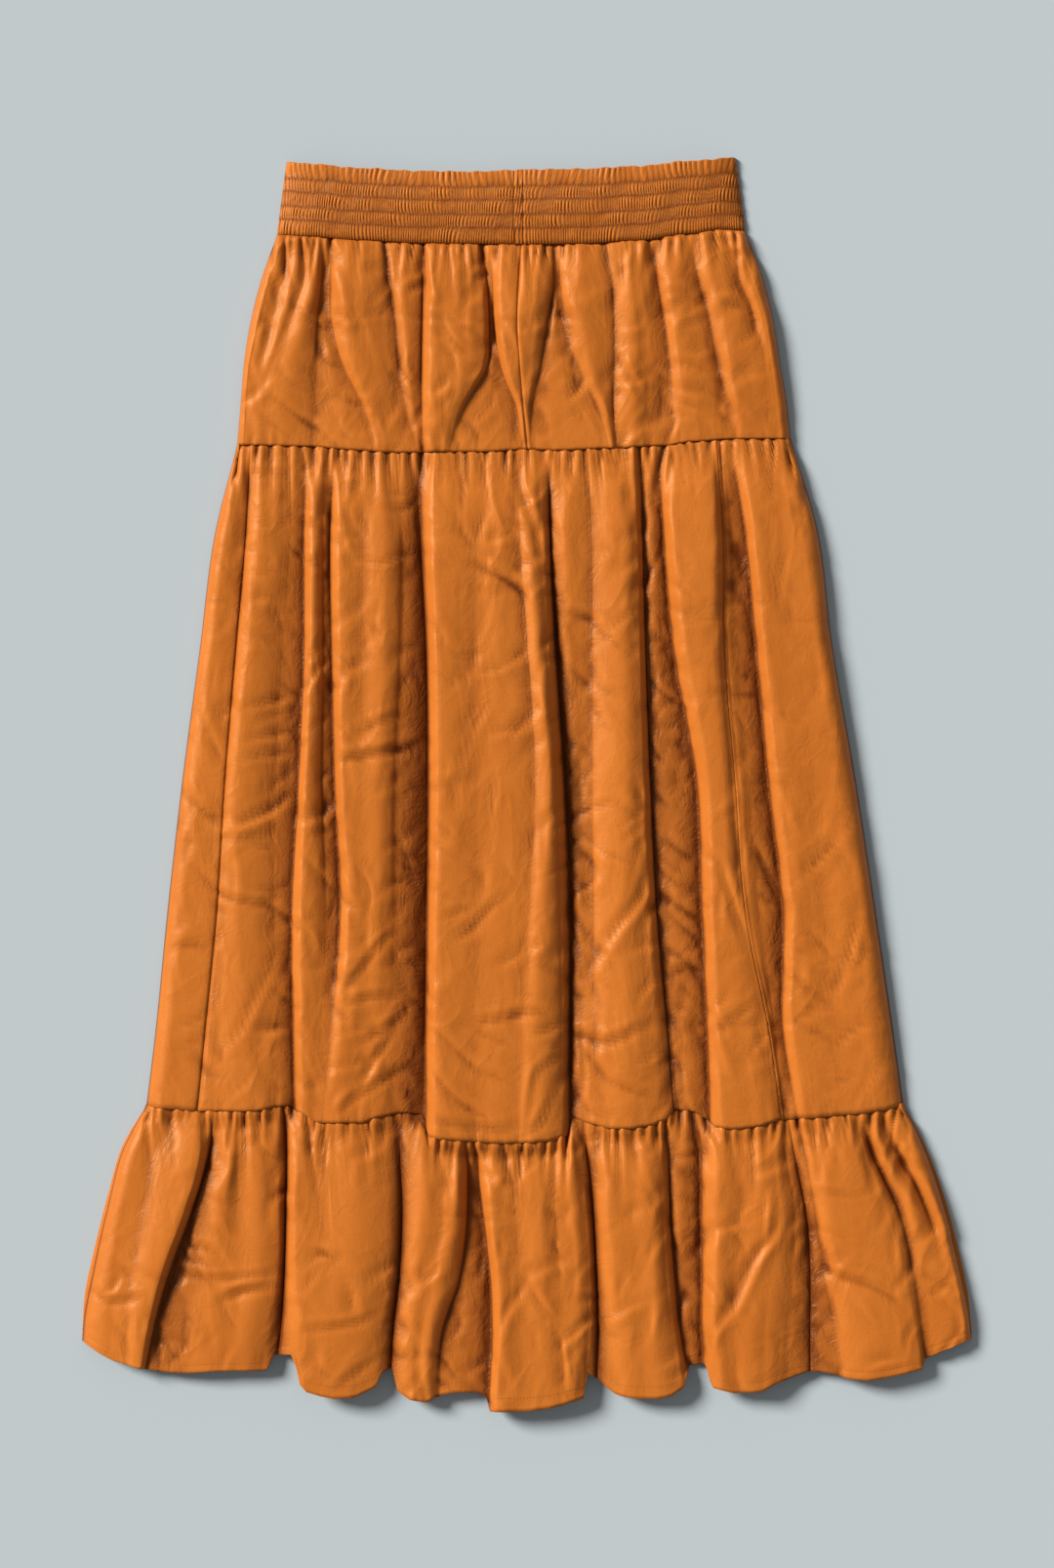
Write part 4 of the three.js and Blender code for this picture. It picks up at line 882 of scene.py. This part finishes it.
def waist_grid(right, half_front):
    """The shirred waistband as grids: ribs between rows of elastic thread, pinched at each row."""
    columns = 800 if half_front else 420
    rows = np.linspace(0, 1, 46 if half_front else 30)
    side = np.linspace(-1, 1, columns)
    share = np.broadcast_to(rows[:, None], (len(rows), columns))
    half = WAIST_HALF_TOP + (WAIST_HALF_SEAM - WAIST_HALF_TOP) * share
    x = WAIST_MIDDLE + half * side
    channel = np.clip(np.searchsorted(SHIRRING_ROWS, share, side="right") - 1, 0, len(SHIRRING_ROWS) - 2)
    sewn = np.array(SHIRRING_ROWS)
    inside = (share - sewn[channel]) / (sewn[channel + 1] - sewn[channel])
    pinch = np.sin(np.pi * np.clip(inside, 0, 1)) ** 0.7
    frill = channel == 0
    pinch = np.where(frill, np.cos(np.pi / 2 * inside) ** 0.5, pinch)
    pitch = np.where(frill, FRILL_PITCH, RIB_PITCH)
    sway = 0.55 * np.sin(x / 9.1 + 2.3 * channel + right) + 0.38 * np.sin(x / 3.7 + 1.1 * channel)
    slant = (inside - 0.5) * (0.5 * np.sin(x / 21.0 + channel) + 0.25)
    phase = x / pitch + sway * RIB_PITCH / pitch + slant + 0.31 * channel
    rib = np.abs(np.sin(np.pi * phase)) ** 0.85
    tall = 0.75 + 0.35 * np.sin(x / 5.3 + 1.7 * channel) * np.sin(x / 13.0)
    relief = pinch * (0.3 + 1.35 * rib * tall) + (1 - pinch) * 0.35 * rib
    relief = np.where(frill, pinch * 0.5 + 1.25 * rib * tall * (0.35 + 0.65 * pinch), relief)
    # The last grid weights the painted shade in the troughs between the ribs.
    return x, share, side, relief, np.clip((1.05 - relief) * 1.1, 0, 1)


class SKIRT_OT_waistband(bpy.types.Operator):
    """Makes the shirred elastic waistband, front left, front right and back"""

    bl_idname = "skirt.waistband"
    bl_label = "Waistband"

    def execute(self, context):
        cloth, thickness = cloth_of(context.scene), context.scene.skirt_cloth.thickness
        x, share, side, relief, hollow_and_shade = waist_grid(0, True)
        strip = np.clip(np.minimum(x - CENTRE_STRIP[0], CENTRE_STRIP[1] - x) / 0.8 + 0.5, 0, 1)
        relief = relief * (1 - strip) + 0.9 * strip
        dip(relief, x - CENTRE_STRIP[0], 0.7, 0.7)
        dip(relief, x - CENTRE_STRIP[1], 0.7, 0.7)
        body = np.sqrt(1 - np.abs(side) ** 9) * WAIST_LIFT
        crown = WAIST_CROWN * (1 - side**2) * np.sin(np.pi * share)
        z = EDGE_LEVEL + body + crown + relief * np.clip((1 - np.abs(side)) * 60, 0, 1)
        y = along(WAIST_TOP, x) * (1 - share) + along(WAIST_SEAM, x) * share
        y += (1 - share) ** 3 * 0.5 * np.sin(x / 2.1) * np.sin(x / 7.7)
        dip(z, (1 - share) * 55, 1.2, 1.6)
        grid = LAID["waist_front"] = (x, y, z, hollow_and_shade)
        seam = int(np.searchsorted(x[0], sum(CENTRE_STRIP) / 2))
        left = shell("waistband_front_left", grid, thickness, cloth, slice(0, seam + 1))
        right = shell("waistband_front_right", grid, thickness, cloth, slice(seam, None))
        x, share, side, relief, hollow_and_shade = waist_grid(1.3, False)
        y = along(WAIST_TOP, x) * (1 - share) + along(WAIST_SEAM, x) * share
        z = BACK_LEVEL + relief * np.clip((1 - np.abs(side)) * 40, 0, 1)
        grid = LAID["waist_back"] = tuple(g[:, ::-1] for g in (x, y, z, hollow_and_shade))
        back = shell("waistband_back", grid, thickness, cloth)
        finish_piece(left, "waistband_front_left")
        finish_piece(right, "waistband_front_right")
        finish_piece(back, "waistband_back")
        return {"FINISHED"}


class SKIRT_OT_yoke(bpy.types.Operator):
    """Makes the yoke that is gathered under the waistband"""

    bl_idname = "skirt.yoke"
    bl_label = "Yoke"

    def execute(self, context):
        cloth, settings = cloth_of(context.scene), context.scene.skirt_cloth
        draw = np.random.default_rng(settings.seed + 1)
        lines = {
            "top": WAIST_SEAM, "bottom": YOKE_SEAM, "level": 244, "soft": 0.55, "pleats": (6, 12),
            "reach": (16, 70), "deep": (1.4, 3.6), "puckers": (6, 22), "crumples": 700, "back_creases": 14,
        }
        grid = front_of_tier(
            "yoke", YOKE_FOLDS, YOKE_SHARES, YOKE_CREASES, lines, draw, None, settings.crumple
        )
        x, y, z, _ = grid
        seam = columns_of(YOKE_FOLDS, "centre_seam")
        dip(z, x - x[:, seam : seam + 1], 0.8, 1.1)
        dip(z, along(WAIST_SEAM, x) - y - 0.3, 1.2, 1.6)
        LAID["yoke_front"] = grid
        left = shell("yoke_front_left", grid, settings.thickness, cloth, slice(0, seam + 1))
        right = shell("yoke_front_right", grid, settings.thickness, cloth, slice(seam, None))
        lines["bottom"] = BACK_YOKE_SEAM
        grid = back_of_tier("yoke", YOKE_FOLDS, YOKE_SHARES, YOKE_BACK, lines, draw)
        back = shell("yoke_back", grid, settings.thickness, cloth)
        finish_piece(left, "yoke_front_left")
        finish_piece(right, "yoke_front_right")
        finish_piece(back, "yoke_back")
        return {"FINISHED"}


class SKIRT_OT_middle_tier(bpy.types.Operator):
    """Makes the long middle tier, whose back turns round both sides to seams on the front"""

    bl_idname = "skirt.middle_tier"
    bl_label = "Middle tier"

    def execute(self, context):
        cloth, settings = cloth_of(context.scene), context.scene.skirt_cloth
        draw = np.random.default_rng(settings.seed + 2)
        lines = {
            "top": YOKE_SEAM, "bottom": RUFFLE_SEAM, "level": -243, "pleats": (6, 12), "reach": (18, 85),
            "deep": (1.4, 4.0), "puckers": (8, 30), "crumples": 1900, "back_creases": 34,
        }
        yoke = LAID["yoke_front"]
        grid = front_of_tier(
            "middle", MIDDLE_FOLDS, MIDDLE_SHARES, MIDDLE_CREASES, lines, draw,
            (yoke[0][-1], yoke[2][-1]), settings.crumple,
        )
        x, y, z, _ = grid
        seams = ("left_seam", "middle_seam", "right_seam")
        first, middle, last = (columns_of(MIDDLE_FOLDS, name) for name in seams)
        dip(z, x - x[:, first : first + 1], 0.6, 1.0)
        for seam in (middle, last):
            for side in (-2.4, 2.4):
                dip(z, x - x[:, seam : seam + 1] - side, 0.55, 0.8)
        LAID["middle_front"] = grid
        left = shell("middle_tier_front_left", grid, settings.thickness, cloth, slice(first, middle + 1))
        right = shell("middle_tier_front_right", grid, settings.thickness, cloth, slice(middle, last + 1))
        lines["top"], lines["bottom"] = BACK_YOKE_SEAM, BACK_RUFFLE_SEAM
        under = back_of_tier("middle", MIDDLE_FOLDS, MIDDLE_SHARES, MIDDLE_BACK, lines, draw)
        again = np.linspace(0, x.shape[0] - 1, under[0].shape[0])
        thin = tuple(glide(np.arange(x.shape[0]), g, again) for g in grid)
        wrapped = tuple(
            np.concatenate([g[:, last:], u[:, 1:-1], g[:, : first + 1]], axis=1) for g, u in zip(thin, under)
        )
        back = shell("middle_tier_back", wrapped, settings.thickness, cloth)
        finish_piece(left, "middle_tier_front_left")
        finish_piece(right, "middle_tier_front_right")
        finish_piece(back, "middle_tier_back")
        return {"FINISHED"}


class SKIRT_OT_ruffle(bpy.types.Operator):
    """Makes the gathered ruffle at the hem"""

    bl_idname = "skirt.ruffle"
    bl_label = "Ruffle"

    def execute(self, context):
        cloth, settings = cloth_of(context.scene), context.scene.skirt_cloth
        draw = np.random.default_rng(settings.seed + 3)
        lines = {
            "top": RUFFLE_SEAM, "bottom": HEM, "level": -431, "smooth": False, "pleats": (6, 12),
            "reach": (16, 80), "deep": (1.4, 4.0), "crumples": 900, "back_creases": 22, "pinch": 0.0,
        }
        middle = LAID["middle_front"]
        grid = front_of_tier(
            "ruffle", RUFFLE_FOLDS, RUFFLE_SHARES, RUFFLE_CREASES, lines, draw,
            (middle[0][-1], middle[2][-1]), settings.crumple,
        )
        x, y, z, _ = grid
        seam = columns_of(RUFFLE_FOLDS, "join_seam")
        dip(z, x - x[:, seam : seam + 1], 0.7, 1.0)
        dip(z, y - along(HEM, x, False) - HEM_TURN, 0.35, 0.7)
        LAID["ruffle_front"] = grid
        left = shell("ruffle_front_left", grid, settings.thickness, cloth, slice(0, seam + 1))
        right = shell("ruffle_front_right", grid, settings.thickness, cloth, slice(seam, None))
        lines.update(top=BACK_RUFFLE_SEAM, bottom=BACK_HEM, level=-408)
        grid = back_of_tier("ruffle", RUFFLE_FOLDS, RUFFLE_SHARES, RUFFLE_BACK, lines, draw)
        LAID["ruffle_back"] = grid
        back = shell("ruffle_back", grid, settings.thickness, cloth)
        finish_piece(left, "ruffle_front_left")
        finish_piece(right, "ruffle_front_right")
        finish_piece(back, "ruffle_back")
        return {"FINISHED"}


class SKIRT_OT_stitching(bpy.types.Operator):
    """Sews the rows of elastic thread and the line of stitches along the hem"""

    bl_idname = "skirt.stitching"
    bl_label = "Stitching"

    def execute(self, context):
        settings = context.scene.skirt_stitching
        thread = thread_material(context.scene.skirt_colours)
        shirring = [row_path(LAID["waist_front"], share, SHIRRING_LIFT) for share in SHIRRING_ROWS[1:-1]]
        shirring += [row_path(LAID["waist_back"], share, -SHIRRING_LIFT) for share in SHIRRING_ROWS[1:-1]]
        sew("shirring_stitches", shirring, settings, thread)
        hems = [row_path(LAID["ruffle_front"], 1 - HEM_TURN / RUFFLE_FRONT, HEM_LIFT)]
        hems.append(row_path(LAID["ruffle_back"], 1 - HEM_TURN / RUFFLE_REAR, -HEM_LIFT))
        sew("hem_stitches", hems, settings, thread)
        return {"FINISHED"}


class SKIRT_OT_stage(bpy.types.Operator):
    """Makes the floor, the light and the camera straight above the garment"""

    bl_idname = "skirt.stage"
    bl_label = "Stage"

    def execute(self, context):
        scene, light = context.scene, context.scene.skirt_light
        floor_mesh = bpy.data.meshes.new("floor")
        corners = [(a * FLOOR_REACH, b * FLOOR_REACH, 0) for a, b in ((-1, -1), (1, -1), (1, 1), (-1, 1))]
        floor_mesh.from_pydata(corners, [], [(0, 1, 2, 3)])
        floor = bpy.data.objects.new("floor", floor_mesh)
        scene.collection.objects.link(floor)
        paint = bpy.data.materials.new("floor_paint")
        paint.use_nodes = True
        shader = paint.node_tree.nodes["Principled BSDF"].inputs
        shader["Base Color"].default_value = (*scene.skirt_colours.floor, 1)
        shader["Roughness"].default_value = 0.95
        shader["Specular IOR Level"].default_value = 0.0
        floor_mesh.materials.append(paint)
        key = bpy.data.objects.new("key_light", bpy.data.lights.new("key_light", "SUN"))
        key.data.energy, key.data.angle = light.key, light.key_softness
        key.data.color = (1.0, 0.985, 0.965)
        key.rotation_mode = "QUATERNION"
        key.rotation_quaternion = Vector(SUN_HEADING).to_track_quat("-Z", "Y")
        scene.collection.objects.link(key)
        world = bpy.data.worlds.new("studio")
        world.use_nodes = True
        world.node_tree.nodes["Background"].inputs["Color"].default_value = (0.97, 0.985, 1.0, 1)
        world.node_tree.nodes["Background"].inputs["Strength"].default_value = light.fill
        scene.world = world
        camera = bpy.data.objects.new("camera", bpy.data.cameras.new("camera"))
        camera.data.lens, camera.data.sensor_width = LENS, SENSOR
        camera.location = (0, 0, light.frame_height * camera.data.lens / camera.data.sensor_width + 0.008)
        scene.collection.objects.link(camera)
        scene.camera = camera
        scene.view_settings.view_transform = "Standard"
        return {"FINISHED"}


MAKERS = (
    SKIRT_OT_stage, SKIRT_OT_waistband, SKIRT_OT_yoke, SKIRT_OT_middle_tier, SKIRT_OT_ruffle,
    SKIRT_OT_stitching,
)
GROUPS = (
    ("skirt_cloth", SkirtCloth), ("skirt_stitching", SkirtStitching), ("skirt_colours", SkirtColours),
    ("skirt_light", SkirtLight),
)


class SKIRT_PT_panel(bpy.types.Panel):
    """Lists the makers of the skirt's pieces"""

    bl_idname = "SKIRT_PT_panel"
    bl_label = "Tiered skirt"
    bl_space_type = "VIEW_3D"
    bl_region_type = "UI"
    bl_category = "Skirt"

    def draw(self, context):
        for name, group in GROUPS:
            box = self.layout.box()
            for key in group.__annotations__:
                box.prop(getattr(context.scene, name), key)
        for maker in MAKERS:
            self.layout.operator(maker.bl_idname)


def register():
    for name, group in GROUPS:
        bpy.utils.register_class(group)
        setattr(bpy.types.Scene, name, PointerProperty(type=group))
    for maker in (*MAKERS, SKIRT_PT_panel):
        bpy.utils.register_class(maker)


def unregister():
    for maker in reversed((*MAKERS, SKIRT_PT_panel)):
        bpy.utils.unregister_class(maker)
    for name, group in reversed(GROUPS):
        delattr(bpy.types.Scene, name)
        bpy.utils.unregister_class(group)


def main():
    register()
    for maker in MAKERS:
        area, name = maker.bl_idname.split(".")
        getattr(getattr(bpy.ops, area), name)()


if __name__ == "__main__":
    main()
